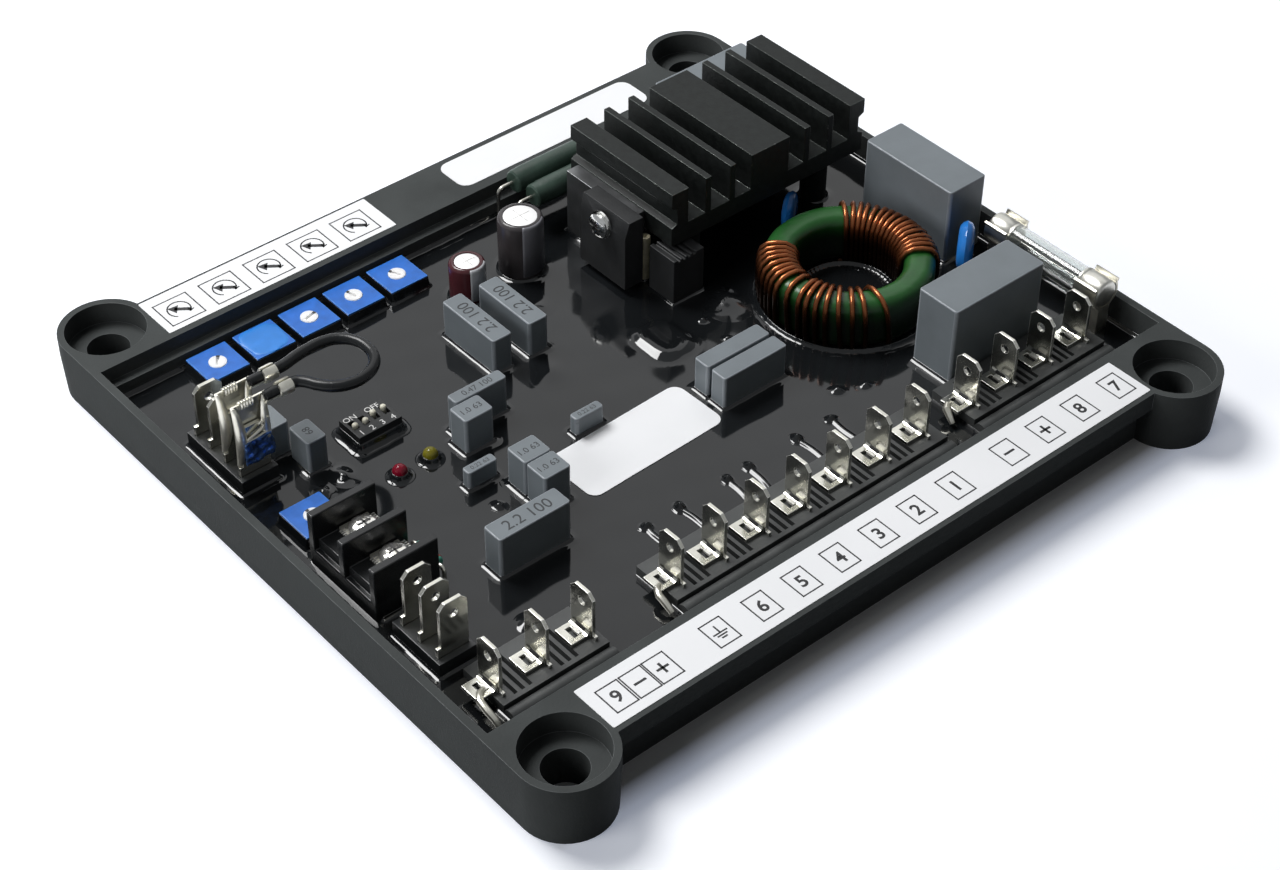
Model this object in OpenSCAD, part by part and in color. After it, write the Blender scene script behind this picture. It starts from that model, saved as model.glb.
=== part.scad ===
// Open potted voltage regulator of an alternator: a moulded tray with four bolt bosses holds a circuit board
// under black resin, and the electronic parts stand out of the resin.
// +X runs along the front terminal row, +Y towards the trimmers, +Z up.
// The origin lies on the floor under the tray's centre.

/* [Tray] */
// Distance between the bolt holes along the terminal row
bolt_dx = 160; // [160:1:190]
// Distance between the bolt holes across the terminal row
bolt_dy = 150; // [150:1:175]
// Outer radius of a corner boss at its top
boss_top_r = 10; // [9.7:0.1:11]
// Outer radius of a corner boss at its foot
boss_foot_r = 9.6; // [9:0.1:9.7]
// Radius of the counterbore in a boss
counterbore_r = 8.5; // [7:0.1:8.8]
// Depth of the counterbore in a boss
counterbore_depth = 5; // [3:0.5:8]
// Radius of a bolt hole
bolt_hole_r = 4.5; // [3:0.1:5.5]
// Height of the tray
tray_h = 14.2; // [13:0.1:18]
// Thickness of the tray's floor
floor_t = 2.2; // [1.6:0.1:3]
// Thickness of the left and right walls
wall_t = 1.8; // [1.2:0.1:2]
// Width of the flat ledge at the front and at the back
ledge_w = 14.4; // [12:0.1:14.8]
// How far a ledge's edge stands out past the line of bolt holes
ledge_past_bolts = 3; // [3:0.5:5]
// Thickness of a ledge's overhanging edge
flange_t = 4.5; // [3:0.5:6]
// How far the wall under a ledge is set back from the ledge's edge
flange_overhang = 3; // [1:0.5:5]
// Width of the step along the inner edge of each ledge
step_w = 2.2; // [1:0.1:2.4]
// Depth of that step below the ledge's top
step_drop = 3.4; // [2:0.1:4]

/* [Board and resin] */
// Height of the pads that carry the board
pad_h = 1.6; // [1:0.1:2]
// Radius of a pad
pad_r = 4; // [3:0.5:6]
// Thickness of the circuit board
board_t = 1.6; // [1:0.1:2]
// Gap between the board and the tray's walls
board_gap = 0.7; // [0.3:0.1:1]
// Depth of the resin over the board
resin_depth = 2; // [1.5:0.1:3.6]

/* [Heat sink] */
// Width of the extrusion across its fins
sink_w = 55.8; // [54:0.1:57]
// Length of the extrusion along its fins
sink_l = 33.6; // [31:0.1:34]
// Height of the extrusion
sink_h = 13.4; // [11:0.1:18]
// Thickness of the extrusion's base
sink_base_t = 4.6; // [3:0.1:5.5]
// Width of the pad in the middle
sink_pad_w = 11; // [8:0.1:14]
// Thickness of a fin
fin_t = 1.6; // [1:0.1:2.2]
// Distance from one fin to the next
fin_pitch = 6.9; // [6:0.1:7.2]
// Width of a side bar
side_bar_w = 4.6; // [3.5:0.1:5.4]
// Height of a side bar's top lip
bar_lip_h = 3.6; // [2:0.1:5]
// Depth of the groove under a side bar's lip
bar_groove = 1.5; // [0.8:0.1:2.2]
// Height of the posts that carry the heat sink over the board
post_h = 13.8; // [13.5:0.1:15]
// Radius of a heat sink post
post_r = 3; // [2:0.1:4]

/* [Power parts] */
// Width of the transistor's body
transistor_w = 15; // [14:0.1:15.4]
// Thickness of the transistor's body
transistor_t = 5; // [4.6:0.1:5.1]
// Height of the transistor's body
transistor_h = 17; // [15:0.1:17]
// Thickness of the plate between the transistor and the heat sink
bracket_t = 3.5; // [2:0.1:3.6]
// Radius of the transistor's clamp screw at its head
clamp_head_r = 2.7; // [2:0.1:3.5]
// Size of the bridge module: along X, along Y, height over the board
bridge_size = [8.5, 8, 13.4];
// Outer radius of the choke's ring core
core_r = 18.4; // [17.5:0.1:18.6]
// Radius of the hole in the ring core
core_hole_r = 11.6; // [11.5:0.1:13]
// Height of the ring core
core_h = 11.8; // [10:0.1:14]
// Radius of the rounded edges of the ring core
core_round = 2.4; // [1:0.1:3]
// Diameter of the winding wire
wire_d = 1.1; // [0.8:0.05:1.1]
// Gap between the core and the wire
wire_gap = 0.15; // [0.1:0.05:0.3]

/* [Capacitors] */
// Box capacitors at the back: along X, along Y, height over the board
case_back = [5, 17.3, 10.8];
// Slim box capacitor
case_slim = [13, 3.1, 11];
// Nearly square box capacitor at the left
case_stub = [7.1, 5.4, 10.8];
// Square box capacitors
case_square = [6.6, 5.9, 11];
// Thin low box capacitors
case_thin = [7.2, 2.4, 6.6];
// Long box capacitor at the front left
case_front = [17.2, 5.2, 12];
// Pair of long box capacitors in the middle
case_middle = [17.2, 4.3, 10.1];
// Large box capacitor beside the choke
case_large = [25.8, 10.7, 20.8];
// Long box capacitor behind the heat sink
case_rear = [26.5, 8.5, 17.5];
// Small box capacitors beside the back header
case_small = [4.7, 6.7, 10.1];
// Radius of the small can capacitor
can_small_r = 4; // [3:0.1:4.4]
// Height of the small can capacitor over the board
can_small_h = 11.5; // [9:0.1:15]
// Radius of the large can capacitor
can_large_r = 5; // [4:0.1:5.4]
// Height of the large can capacitor over the board
can_large_h = 16.3; // [12:0.1:20]

/* [Resistors, varistors and fuse] */
// Radius of a wirewound resistor
wirewound_r = 2.75; // [2:0.05:2.9]
// Length of a wirewound resistor's body
wirewound_l = 24; // [18:0.5:28]
// Height of the wirewound resistors' axis over the board
wirewound_z = 10.6; // [8:0.1:10.8]
// Radius of a part's wire lead
lead_r = 0.45; // [0.3:0.05:0.5]
// Radius of a disc varistor
disc_r = 5.5; // [4:0.1:5.6]
// Thickness of a disc varistor
disc_t = 3.6; // [2.5:0.1:4]
// Radius of the fuse's glass tube
fuse_glass_r = 2.9; // [2.4:0.05:3]
// Radius of the fuse's end caps
fuse_cap_r = 3.15; // [3.1:0.05:3.3]
// Length of the fuse over its caps
fuse_l = 32; // [28:0.5:33]
// Length of one end cap
fuse_cap_l = 6.4; // [5:0.1:8]
// Height of the fuse's axis over the board
fuse_z = 11.6; // [9:0.1:14]
// Thickness of a fuse clip's sheet
clip_t = 0.5; // [0.3:0.05:0.6]
// Length of a fuse clip along the fuse
clip_l = 6; // [4:0.1:6.4]

/* [Terminals] */
// Width of a tab's blade
tab_w = 6.35; // [4.8:0.05:6.4]
// Thickness of a tab
tab_t = 0.8; // [0.5:0.05:1]
// Radius of the hole in a tab
tab_hole_r = 0.95; // [0.5:0.05:1.1]
// Corner cut at a tab's top
tab_chamfer = 1.3; // [0.5:0.1:1.6]
// Distance between the tabs of the front row
tab_pitch = 10.8; // [9.6:0.1:10.9]
// Height of a front tab over its strip
front_tab_h = 10.8; // [8:0.1:14]
// Length of a front tab's flat foot
tab_foot_l = 4.4; // [3:0.1:4.6]
// Height of the front strips over the board
strip_h = 4.2; // [3.7:0.1:6]
// Depth of the front strips behind their lip
strip_d = 11.9; // [10:0.1:12.4]
// Width of the rounded lip along a front strip
lip_w = 3.5; // [2:0.1:3.9]
// Width of a groove across a front strip
groove_w = 0.9; // [0.5:0.05:1.1]
// Height of the left headers' housings over the board
housing_h = 5.4; // [4:0.1:7]
// Height of the back header's tabs over the board
back_tab_h = 17; // [15:0.1:18.4]
// Height of the front header's tabs over the board
front_header_tab_h = 18; // [15:0.1:19]
// Height of a tab's shoulder over its housing
shoulder_h = 2.2; // [1:0.1:2.3]
// Width of a tab's shoulder past the blade
shoulder_w = 0.8; // [0.3:0.1:0.9]
// Height of the push-on receptacles' top over the board
receptacle_top = 23.8; // [22.4:0.1:25]
// Height of the push-on receptacles' lower end over the board
receptacle_foot = 7.8; // [7.7:0.1:10]
// Radius of a receptacle's wire barrel
barrel_r = 2; // [1.6:0.05:2.2]
// Diameter of the jumper wire
jumper_d = 2.4; // [1.6:0.1:2.6]
// Distance between the walls of the barrier terminal
barrier_pitch = 9.8; // [8.6:0.1:9.9]
// Thickness of a barrier wall
barrier_wall_t = 1.8; // [1.2:0.1:2.2]
// Length of the barrier terminal along X
barrier_l = 14.8; // [13:0.1:15]
// Height of a barrier wall over the board
barrier_h = 15; // [13:0.1:18]
// Height of the barrier terminal's low base over the board
barrier_base_h = 6.4; // [5:0.1:7]
// Height of the block under the clamp plates, over the board
barrier_block_h = 8.6; // [7.8:0.1:9]
// Radius of a terminal screw's head
terminal_head_r = 2.9; // [2:0.1:3]

/* [Trimmers, switch and lamps] */
// Width of a trimmer's square body
trimmer_w = 9.53; // [8:0.01:9.7]
// Height of a trimmer's body over the board
trimmer_h = 4.8; // [4.2:0.1:7]
// Distance between the trimmers of the back row
trimmer_pitch = 11.43; // [10:0.01:11.5]
// Radius of a trimmer's rotor
rotor_r = 1.9; // [1.5:0.05:2.4]
// Height of a trimmer's rotor
rotor_h = 1.4; // [1:0.1:1.8]
// Width of the slot in a rotor
rotor_slot_w = 0.6; // [0.4:0.05:0.8]
// Gap round a moving rotor or slider
running_gap = 0.05; // [0.03:0.01:0.1]
// Size of the switch's body: along X, along Y, height over the board
switch_size = [10.5, 7.2, 5.5];
// Distance between the switch's sliders
slider_pitch = 2.54; // [2:0.01:2.6]
// Width of a slider
slider_w = 1.2; // [0.8:0.05:1.4]
// Length of a slider
slider_l = 1.3; // [1:0.05:1.6]
// Height of a slider
slider_h = 1.9; // [1.5:0.05:2.1]
// Travel of a slider
slider_travel = 1; // [0.6:0.05:1.4]
// Radius of a lamp
lamp_r = 1.6; // [1.5:0.1:2.7]
// Height of a lamp over the board
lamp_h = 4.9; // [4.5:0.1:8]

/* [Hidden] */
$fn = 64;

tray_l = bolt_dx + 2 * boss_top_r;
inner_l = tray_l - 2 * wall_t;
ledge_out = bolt_dy / 2 + ledge_past_bolts;
ledge_in = ledge_out - ledge_w;
inner_w = 2 * (ledge_in - step_w);
board_z = floor_t + pad_h;
top_z = board_z + board_t;
resin_z = top_z + resin_depth;
board_l = inner_l - 2 * board_gap;
board_w = inner_w - 2 * board_gap;
// Overlap that lets a cut pass cleanly through a face
past = 1;
// Gap round a curved part in the resin
seat_gap = 0.05;

// Plan place of each box capacitor's centre
back_at = [[-20.4, 26.8], [-11.2, 26.5]];
slim_at = [[-34, 9.2]];
stub_at = [[-38.8, 4.8]];
square_at = [[-37.7, -12.1], [-37.7, -18.2]];
thin_at = [[-44.8, -5.4], [-18.6, -6.6]];
front_at = [[-50.1, -27.2]];
middle_at = [[14.5, -13.4], [14.6, -18.4]];
side_at = [[80.3, -2.3]];
large_at = [[59.7, -39]];
rear_at = [[70.5, 56.6]];
small_at = [[-67.2, 20.7], [-70.6, 29]];
case_side = [case_large[1], case_large[0], case_large[2]];
case_corner = 0.4;
can_small_at = [-10.9, 42.5];
can_large_at = [3.8, 42.7];
can_lip = 0.5;

// Heat sink
sink_at = [51.2, 32.6];
sink_z = top_z + post_h;
sink_left = sink_at[0] - sink_w / 2;
fin_first = 5.3;
post_in_x = 9;
post_in_y = 5.5;
bracket_l = 22;
bracket_at = [sink_left - bracket_t, sink_at[1] + 3];
transistor_at = [bracket_at[0] - transistor_t / 2, sink_at[1] - 4.1];
transistor_nose = 1.2;
transistor_legs = 3;
leg_pitch = 5.45;
leg_size = [0.6, 1.2];
clamp_head_h = 2.2;
clamp_head_taper = 0.7;
clamp_z = sink_z + 3;
clamp_drop = 3.6;
clamp_grip = 3;
transistor_z = clamp_z + clamp_drop - transistor_h;
// The bridge module and the ceramic post stand beside the heat sink's left end
bridge_at = [sink_left + 1.5, sink_at[1] - 16.8];
bridge_rib_w = 0.7;
bridge_rib_h = 0.6;
bridge_rib_first = 1.2;
bridge_ribs = 4;
spacer_at = [sink_left - 1.3, sink_at[1] - 9.7];
spacer_r = 1.2;
spacer_gap = 0.4;

// Choke
choke_at = [51.4, -9.2];
core_z = top_z + wire_d + 2 * wire_gap;
wire_sides = 6;
back_turns = 16;
back_start = -40;
back_pitch = 5.8;
front_turns = 17;
front_close_turns = 13;
front_start = 128;
front_pitch = 6.2;
front_loose_pitch = 12.5;

// Resistors and varistors
wirewound_x = 14.6;
wirewound_y = [59.2, 52.4];
wirewound_lead = 4;
wirewound_bend = 1.5;
wirewound_rim = [0.3, 0.8];
glass_t = 0.7;
glass_in = 1;
disc_at = [[73.5, -22], [57.4, 15.4]];
disc_turn = [40, 35];
disc_share = [1, 0.8];
disc_z = [11.6, 7.5];
disc_lead_pitch = 5;
disc_dome = 0.8;
axial_at = [-67, -18];
axial_r = 1.4;
axial_l = 7;
axial_z = 5;
axial_bend = 1;
fuse_at = [84, -36.6];
clip_mouth_z = 1.75;
clip_lip = [2.6, 1.65, 1];
clip_lip_turn = 25;
clip_foot_w = 3.4;

// Terminals
strip_front = -57;
// Middle and number of the tabs on each strip
tabs_left_mid = -67.2;
tabs_left_count = 3;
tabs_middle_mid = -2.6;
tabs_middle_count = 7;
tabs_right_mid = 60.4;
tabs_right_count = 4;
// How far each strip runs past its first and last tab
strip_left_past = [1.5, 1.6];
strip_middle_past = [3.3, 3.4];
strip_right_past = [3.2, 3.2];
tab_y = -51.3;
tab_foot_w = 5;
tab_slot = [1.2, 2.8];
tab_shank_w = 4;
tab_foot_t = 0.8;
tab_hole_drop = 3.2;
groove_depth = 1.4;
groove_in = 1;
groove_first = 1.7;
groove_pitch = 1.7;
grooves = 3;
lip_drop = 0.2;
header_x = -78.7;
header_w = 8.6;
header_tab_x = -78.2;
header_past_tab = 1.9;
back_tab_y = [38.6, 33.5, 28.1, 22.7];
front_tab_y = [-30.1, -35.5, -40.9];
receptacle_y = [back_tab_y[2], back_tab_y[3]];
receptacle_wall = 0.5;
receptacle_play = 0.1;
receptacle_neck_h = 5.2;
receptacle_neck_in = 2;
barrel_end_x = -68.6;
barrel_z = top_z + receptacle_top - barrel_r;
crimp_ribs = 4;
crimp_rib_pitch = 0.9;
crimp_rib_h = 0.4;
crimp_rib_first = 1.5;
// Route of the jumper wire from one barrel to the other, seen from above
jumper_points = [
    [-68.6, 28.1], [-66.4, 28.2], [-63.4, 28.8], [-60, 29.2], [-56.6, 29.1], [-53.4, 27.8], [-51.4, 25.2],
    [-50.8, 22], [-51.4, 19], [-53.4, 16.5], [-56.4, 15.2], [-59.6, 15.2], [-62.6, 16.6], [-64.8, 19],
    [-66.2, 21.4], [-67.4, 22.5], [-68.6, 22.7]
];
jumper_sides = 8;
jumper_steps = 2;

barrier_x = -76.1;
barrier_y = [-3.7, -3.7 - barrier_pitch, -3.7 - 2 * barrier_pitch];
// How far the block under the clamp plates is set back from the walls' left and right ends
barrier_block_in = [1.2, 2.2];
clamp_plate_x = barrier_x + 1.5;
clamp_plate_l = 6.6;
plate_t = 0.8;
plate_play = 0.3;
terminal_head_h = 2;
terminal_head_taper = 0.8;
terminal_screw_turn = 20;
screw_slot = [0.8, 0.7];

// Trimmers, switch and lamps
trimmer_row_x = -42.95;
trimmer_row_y = 55.5;
side_trimmer_at = [-77.2, 5.2];
trimmer_at = concat(
    [for (i = [-2 : 2]) [trimmer_row_x + i * trimmer_pitch, trimmer_row_y]],
    [side_trimmer_at]
);
sealed_trimmer = 1;
// Angle that each rotor's notch is set to
rotor_setting = [55, 0, 14, 105, 116, 100];
rotor_proud = 0.15;
rotor_notch_r = 0.45;
rotor_slot_depth = 0.5;
rotor_slot_tail = 0.8;
seal_r = 3.4;
seal_t = 0.25;
switch_at = [-52.6, 20.3];
slider_forward_y = switch_at[1] - 0.1;
slider_is_back = [0, 0, 1, 1];
slider_play = 0.1;
slider_proud = 0.8;
lamp_red_at = [-56.1, 5.8];
lamp_green_at = [-48.5, 5.9];

black = [0.07, 0.075, 0.08];
resin_black = [0.03, 0.03, 0.035];
tin = [0.72, 0.7, 0.66];
case_grey = [0.4, 0.44, 0.48];
trimmer_blue = [0.1, 0.3, 0.75];
copper = [0.62, 0.3, 0.16];

// General forms

// Runs a profile drawn across and up along X, from 0 to len
module along_x(len) {
    rotate([90, 0, 90]) linear_extrude(len) children();
}

// Runs a profile drawn across and up along Y, centred on 0
module along_y(len) {
    translate([0, len / 2, 0]) rotate([90, 0, 0]) linear_extrude(len) children();
}

module centred(size) {
    translate([-size[0] / 2, -size[1] / 2, 0]) cube(size);
}

function cut_corners(w, l, k) = [
    [-w / 2 + k, -l / 2], [w / 2 - k, -l / 2], [w / 2, -l / 2 + k], [w / 2, l / 2 - k],
    [w / 2 - k, l / 2], [-w / 2 + k, l / 2], [-w / 2, l / 2 - k], [-w / 2, -l / 2 + k]
];

// Tray

module bosses_plan(r) {
    for (x = [-1, 1], y = [-1, 1]) translate([x * bolt_dx / 2, y * bolt_dy / 2]) circle(r);
}

module ledge_plan() {
    square([bolt_dx, 2 * ledge_out], center = true);
    square([tray_l, bolt_dy], center = true);
    bosses_plan(boss_top_r);
}

module tray_shell() {
    draft = boss_top_r - boss_foot_r;
    flange_z = tray_h - flange_t;
    translate([0, 0, flange_z]) linear_extrude(flange_t) ledge_plan();
    along_y(bolt_dy) polygon([
        [-tray_l / 2 + draft, 0], [tray_l / 2 - draft, 0],
        [tray_l / 2, flange_z], [-tray_l / 2, flange_z]
    ]);
    translate([-bolt_dx / 2, -ledge_out + flange_overhang, 0])
        cube([bolt_dx, 2 * (ledge_out - flange_overhang), flange_z]);
    for (x = [-1, 1], y = [-1, 1]) translate([x * bolt_dx / 2, y * bolt_dy / 2, 0])
        cylinder(h = flange_z, r1 = boss_foot_r, r2 = boss_top_r);
}

module tray() {
    color(black) {
        difference() {
            tray_shell();
            translate([-inner_l / 2, -inner_w / 2, floor_t]) cube([inner_l, inner_w, tray_h]);
            translate([-inner_l / 2, -ledge_in, tray_h - step_drop]) cube([inner_l, 2 * ledge_in, tray_h]);
            for (x = [-1, 1], y = [-1, 1]) translate([x * bolt_dx / 2, y * bolt_dy / 2, 0]) {
                translate([0, 0, -past]) cylinder(h = tray_h + 2 * past, r = bolt_hole_r);
                translate([0, 0, tray_h - counterbore_depth]) cylinder(h = tray_h, r = counterbore_r);
            }
        }
        board_pads();
    }
}

module board_pads() {
    for (x = [-1, 0, 1], y = [-1, 1])
        translate([x * (board_l / 2 - 2 * pad_r), y * (board_w / 2 - 2 * pad_r), floor_t])
            cylinder(h = pad_h, r = pad_r);
}

// Board and resin

module circuit_board() {
    color("darkgreen") translate([0, 0, board_z]) centred([board_l, board_w, board_t]);
}

module box_plans(size, places) {
    for (p = places) translate(p) polygon(cut_corners(size[0], size[1], case_corner));
}

module case_plans() {
    box_plans(case_back, back_at);
    box_plans(case_slim, slim_at);
    box_plans(case_stub, stub_at);
    box_plans(case_square, square_at);
    box_plans(case_thin, thin_at);
    box_plans(case_front, front_at);
    box_plans(case_middle, middle_at);
    box_plans(case_side, side_at);
    box_plans(case_large, large_at);
    box_plans(case_rear, rear_at);
    box_plans(case_small, small_at);
}

module power_plans() {
    for (p = post_places()) translate(p) circle(post_r + seat_gap);
    translate([bracket_at[0], bracket_at[1] - bracket_l / 2]) square([bracket_t, bracket_l]);
    for (p = leg_places()) translate(p) square(leg_size, center = true);
    translate(bridge_at) square([bridge_size[0], bridge_size[1]], center = true);
    translate(spacer_at) circle(spacer_r + seat_gap);
    translate(choke_at) difference() {
        circle(core_r + wire_d + 3 * wire_gap);
        circle(core_hole_r - wire_d - 3 * wire_gap);
    }
}

module lead_plans() {
    for (p = wirewound_lead_places()) translate(p) circle(lead_r + seat_gap);
    for (i = [0, 1], s = [-1, 1]) translate(disc_at[i]) rotate(disc_turn[i])
        translate([s * disc_lead_pitch / 2, 0]) circle(lead_r + seat_gap);
    for (s = [-1, 1]) translate([axial_at[0], axial_at[1] + s * axial_reach()]) circle(lead_r + seat_gap);
    for (y = clip_places()) translate([fuse_at[0], y]) square([clip_foot_w, clip_l], center = true);
}

module terminal_plans() {
    for (s = [strip_left_ends(), strip_middle_ends(), strip_right_ends()])
        translate([s[0], strip_front - lip_w]) square([s[1] - s[0], strip_d + lip_w]);
    header_plan(back_tab_y);
    header_plan(front_tab_y);
    translate([barrier_x - barrier_l / 2, barrier_y[2] - barrier_wall_t / 2])
        square([barrier_l, 2 * barrier_pitch + barrier_wall_t]);
}

module control_plans() {
    for (p = trimmer_at) translate(p) square(trimmer_w, center = true);
    translate(switch_at) square([switch_size[0], switch_size[1]], center = true);
    for (p = [lamp_red_at, lamp_green_at]) translate(p) circle(lamp_r + seat_gap);
    translate(can_small_at) circle(can_small_r + seat_gap);
    translate(can_large_at) circle(can_large_r + seat_gap);
}

module potting_resin() {
    color(resin_black) difference() {
        translate([0, 0, floor_t]) centred([inner_l, inner_w, resin_z - floor_t]);
        translate([0, 0, board_z]) centred([board_l, board_w, board_t]);
        board_pads();
        translate([0, 0, top_z]) linear_extrude(resin_depth + past) {
            case_plans();
            power_plans();
            lead_plans();
            terminal_plans();
            control_plans();
        }
    }
}

// Heat sink and power parts

module sink_bar() {
    bar_h = sink_h - bar_lip_h;
    outer = sink_w / 2;
    inner = outer - side_bar_w;
    groove = outer - bar_groove;
    polygon([
        [inner, 0], [outer, 0], [outer, sink_base_t], [groove, sink_base_t + bar_groove / 2],
        [groove, bar_h - bar_groove / 2], [outer, bar_h], [outer, sink_h], [inner, sink_h]
    ]);
}

module sink_profile() {
    translate([-sink_w / 2, 0]) square([sink_w, sink_base_t]);
    translate([-sink_pad_w / 2, 0]) square([sink_pad_w, sink_h]);
    for (side = [0, 1]) mirror([side, 0]) {
        sink_bar();
        for (k = [0, 1]) translate([sink_pad_w / 2 + fin_first + k * fin_pitch - fin_t / 2, 0])
            square([fin_t, sink_h]);
    }
}

module heat_sink() {
    color(black) translate([sink_at[0], sink_at[1], sink_z]) along_y(sink_l) sink_profile();
}

function post_places() = [
    for (x = [-1, 1], y = [-1, 1])
        [sink_at[0] + x * (sink_w / 2 - post_in_x), sink_at[1] + y * (sink_l / 2 - post_in_y)]
];

module sink_posts() {
    color(black) for (p = post_places()) translate([p[0], p[1], top_z]) cylinder(h = post_h, r = post_r);
}

module clamp_bore(r) {
    translate([transistor_at[0], transistor_at[1], clamp_z]) rotate([0, 90, 0])
        translate([0, 0, -transistor_t]) cylinder(h = 2 * transistor_t + bracket_t, r = r);
}

module sink_bracket() {
    color("silver") difference() {
        translate([bracket_at[0], bracket_at[1] - bracket_l / 2, top_z])
            cube([bracket_t, bracket_l, post_h + sink_base_t]);
        clamp_bore(clamp_head_r / 2);
    }
}

function leg_places() = [
    for (i = [0 : transistor_legs - 1])
        [transistor_at[0], transistor_at[1] + (i - (transistor_legs - 1) / 2) * leg_pitch]
];

module power_transistor() {
    color(black) {
        difference() {
            translate([transistor_at[0], transistor_at[1], transistor_z]) along_y(transistor_w) polygon([
                [-transistor_t / 2, 0], [transistor_t / 2, 0], [transistor_t / 2, transistor_h],
                [-transistor_t / 2 + transistor_nose, transistor_h],
                [-transistor_t / 2, transistor_h - 3 * transistor_nose]
            ]);
            clamp_bore(clamp_head_r / 2);
        }
        for (p = leg_places()) translate([p[0], p[1], top_z])
            centred([leg_size[0], leg_size[1], transistor_z - top_z]);
    }
}

module clamp_screw() {
    head_x = transistor_at[0] - transistor_t / 2;
    color("silver") translate([head_x, transistor_at[1], clamp_z]) rotate([0, 90, 0]) {
        cylinder(h = transistor_t + min(clamp_grip, bracket_t), r = clamp_head_r / 2 - seat_gap);
        difference() {
            translate([0, 0, -clamp_head_h])
                cylinder(h = clamp_head_h, r1 = clamp_head_r * clamp_head_taper, r2 = clamp_head_r);
            translate([-clamp_head_r, -screw_slot[0] / 2, -clamp_head_h - past])
                cube([2 * clamp_head_r, screw_slot[0], screw_slot[1] + past]);
        }
    }
}

module bridge_module() {
    color(black) translate([bridge_at[0], bridge_at[1], top_z]) difference() {
        centred(bridge_size);
        for (i = [0 : bridge_ribs - 1])
            translate([
                -bridge_size[0] / 2 + bridge_rib_first + i * 2 * bridge_rib_w,
                -bridge_size[1] / 2 - past,
                bridge_size[2] - bridge_rib_h
            ]) cube([bridge_rib_w, bridge_size[1] + 2 * past, past + bridge_rib_h]);
    }
}

module spacer_post() {
    color("beige") translate([spacer_at[0], spacer_at[1], top_z])
        cylinder(h = post_h - spacer_gap, r = spacer_r);
}

// Choke

module core_profile() {
    w = core_r - core_hole_r;
    k = min(core_round, w / 2 - 0.1, core_h / 2 - 0.1);
    translate([core_hole_r + k, 0]) square([w - 2 * k, core_h]);
    translate([core_hole_r, k]) square([w, core_h - 2 * k]);
    for (x = [core_hole_r + k, core_r - k], z = [k, core_h - k]) translate([x, z]) circle(k);
}

module choke_core() {
    color("green") translate([choke_at[0], choke_at[1], core_z]) rotate_extrude() core_profile();
}

// One turn of wire round the core's section, as radius, height and the direction that faces off the core.
// The points at a corner lie just outside its arc, so the straight stretches between them clear the core.
function turn_path() = let (
    step = 30,
    off = wire_gap + wire_d / 2,
    k = min(core_round, (core_r - core_hole_r) / 2 - 0.1, core_h / 2 - 0.1),
    corners = [
        [core_r - k, k, 0], [core_r - k, core_h - k, 90],
        [core_hole_r + k, core_h - k, 180], [core_hole_r + k, k, 270]
    ]
) [for (c = corners, a = [-2.5, -1.5, -0.5]) let (bend = c[2] + a * step, r = (k + off) / cos(step / 2))
    [c[0] + r * cos(bend), c[1] + r * sin(bend), bend]];

function turn_angle(turn, start, pitch, close_turns, loose_pitch) =
    start + pitch * min(turn, close_turns) + loose_pitch * max(turn - close_turns, 0);

function ring_angles(sides) = [for (i = [0 : sides - 1]) 360 * i / sides];

// Skin of a tube from its rings of points
function tube_faces(rings, sides) = concat(
    [[for (i = [sides - 1 : -1 : 0]) i]],
    [for (r = [0 : rings - 2], i = [0 : sides - 1])
        [r * sides + i, r * sides + (i + 1) % sides, (r + 1) * sides + (i + 1) % sides, (r + 1) * sides + i]],
    [[for (i = [0 : sides - 1]) (rings - 1) * sides + i]]
);

module winding(turns, start, pitch, close_turns, loose_pitch) {
    path = turn_path();
    n = len(path);
    points = [
        for (t = [0 : turns - 1], j = [0 : n - 1]) let (
            turn = t + j / n,
            angle = turn_angle(turn, start, pitch, close_turns, loose_pitch),
            p = path[j]
        ) for (a = ring_angles(wire_sides)) let (
            r = p[0] + wire_d / 2 * cos(a) * cos(p[2]),
            z = p[1] + wire_d / 2 * cos(a) * sin(p[2]),
            s = wire_d / 2 * sin(a)
        ) [r * cos(angle) - s * sin(angle), r * sin(angle) + s * cos(angle), z]
    ];
    color(copper) translate([choke_at[0], choke_at[1], core_z])
        polyhedron(points, tube_faces(turns * n, wire_sides));
}

module choke_winding_back() {
    winding(back_turns, back_start, back_pitch, back_turns, back_pitch);
}

module choke_winding_front() {
    winding(front_turns, front_start, front_pitch, front_close_turns, front_loose_pitch);
}

// Capacitors

module box_cases(size, places) {
    color(case_grey) translate([0, 0, top_z]) linear_extrude(size[2]) box_plans(size, places);
}

module film_capacitors_back() {
    box_cases(case_back, back_at);
}

module film_capacitor_slim() {
    box_cases(case_slim, slim_at);
}

module film_capacitors_square() {
    box_cases(case_square, square_at);
    box_cases(case_stub, stub_at);
}

module film_capacitors_thin() {
    box_cases(case_thin, thin_at);
}

module film_capacitor_front() {
    box_cases(case_front, front_at);
}

module film_capacitors_middle() {
    box_cases(case_middle, middle_at);
}

module film_capacitor_side() {
    box_cases(case_side, side_at);
}

module film_capacitor_large() {
    box_cases(case_large, large_at);
}

module film_capacitor_rear() {
    box_cases(case_rear, rear_at);
}

module film_capacitors_small() {
    box_cases(case_small, small_at);
}

// A can in a shrunk sleeve that curls over the rim and leaves the flat top bare
module can(at, r, h) {
    translate([at[0], at[1], top_z]) rotate_extrude() polygon([
        [0, 0], [r, 0], [r, h - 2 * can_lip], [r - can_lip, h], [r - 2 * can_lip, h],
        [r - 3 * can_lip, h - can_lip], [0, h - can_lip]
    ]);
}

module can_capacitor_small() {
    color("maroon") can(can_small_at, can_small_r, can_small_h);
}

module can_capacitor_large() {
    color("dimgray") can(can_large_at, can_large_r, can_large_h);
}

// Resistors, varistors and fuse

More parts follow.
